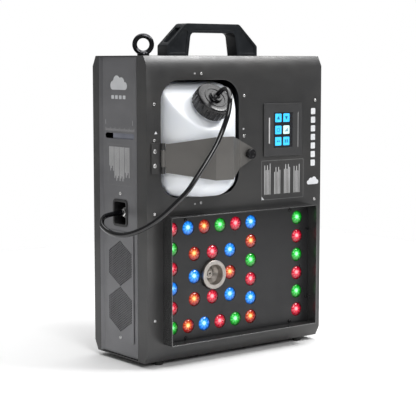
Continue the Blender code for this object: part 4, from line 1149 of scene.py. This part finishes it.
def make_left_side():
    low, high = 0.0024, 0.0037
    holes = [circle(FAN_BEHIND, down, 0.0016, 16) for down in COVER_SCREWS]
    for down in GRILLE_CENTRES:
        holes += [circle(*place, GRILLE_HOLE, 8) for place in grille_places(FAN_BEHIND, down)]
    made = plate("grille_cover", [rectangle(*COVER, 0.004), *holes], low, high, "X")
    # The grille cover takes the lighter side paint, a copy of the body's paint with painted light in it
    piece(made, "side", replaced=["side_cover"])
    skin("hose_inlet_cup", "inlet_cup", 0.0004, "black")
    seat = at(INLET_SEAT, FAN_BEHIND, INLET_DOWN)
    tip = seat.x - at(0.0059, 0, 0).x
    barb = [(0.0022, tip), (0.0036, tip), (0.0041, tip - 0.0014), (0.0041, tip - 0.0026),
            (0.0062, tip - 0.0034), (0.0066, tip - 0.0044), (0.0066, 0.008), (0.0084, 0.0075, hexagon),
            (0.0084, 0.0004, hexagon), (0.008, 0.0), (0.005, 0), (0.005, -0.008), (0.0022, -0.008)]
    turned_piece("hose_coupling", "coupling_body", barb, seat, LEFT, 48, "steel")
    wave = knurls(24, 0.05)
    sleeve = [(0.007, 0.0135), (0.008, 0.0135), (0.0085, 0.013, wave), (0.0086, 0.012, wave),
              (0.0086, 0.0092, wave), (0.0083, 0.0085), (0.007, 0.0085)]
    turned_piece("coupling_sleeve", "coupling_ring", sleeve, seat, LEFT, 96, "steel",
                 "sleeve")


# ---- right side fittings


def make_right_side():
    for node in ("data_socket_in", "data_socket_out", "power_inlet", "switch_frame"):
        skin(node, node + "_housing", 0.0004, "black")
    skin("power_switch", "rocker_button", 0.0005, "cap", "rocker")
    skin("fuse_cap", "fuse_holder_cap", 0.0004, "black", "fuse")
    face = WIDTH - SIDE_RECESS
    pins = bmesh.new()
    for down in DATA_ROWS:
        for angle in (90, 210, 330):
            place = at(face - 0.0175, SIDE_MIDDLE + 0.0048 * cos(radians(angle)),
                       down + 0.0048 * sin(radians(angle)))
            profile = [(0, 0.011), (0.0008, 0.0108), (0.0011, 0.01), (0.0011, 0), (0, 0)]
            add_turned(pins, profile, standing(place, RIGHT), 12)
    piece(closed("data_pins", pins, 40), "brass")
    blades = []
    for t, z in ((-0.007, 0.0012), (0.007, 0.0012), (0, -0.002)):
        blade = centred(SIDE_MIDDLE + t, POWER_DOWN + z, 0.001, 0.0026, 0.0005)
        blades.append(plate("blade", [blade], face - 0.0195, face - 0.0035, "X"))
    piece(merged("power_blades", blades, 40), "steel")
    corners = bmesh.new()
    for down in DATA_ROWS:
        for t, z in ((-0.01, -0.0125), (0.01, 0.0125)):
            button_head(corners, at(face + 0.0023, SIDE_MIDDLE + t, down + z), RIGHT, 0.0018, 0.001)
    for t in (-0.0168, 0.0168):
        button_head(corners, at(face + 0.0023, SIDE_MIDDLE + t, POWER_DOWN), RIGHT, 0.0018, 0.001)
    piece(closed("socket_screws", corners, 35), "steel")


# ---- pieces that keep their shape

KEPT = {
    "bay": ["bottle_bay"],
    "steel": ["strap_hinge_pin", "pump_plunger", "pump_bracket", "power_supply"],
    "cast": ["heater_block"],
    "black": ["fan_frame_1", "fan_frame_2", "fan_rotor_1", "fan_rotor_2", "pump_body"],
    "bottle": ["pickup_tube"],
    "hose": ["pump_feed_tube"],
    "board": ["led_board", "display_board", "control_board"],
    "brass": ["heater_feed_pipe"],
    "insulation": ["heater_jacket"],
}


def dress_kept_nodes():
    for look, names in KEPT.items():
        for name in names:
            materials = NODES[name].data.materials
            materials.clear()
            materials.append(LOOKS[look])


def main():
    make_camera()
    make_looks()
    make_hose()
    make_light()
    for make in (make_casing, make_screws, make_feet, make_handle, make_eye, make_bottle, make_cap,
                 make_strap):
        make()
    make_lenses()
    for make in (make_light_field, make_display, make_front_prints, make_side_prints, make_left_side,
                 make_right_side, dress_kept_nodes):
        make()


main()
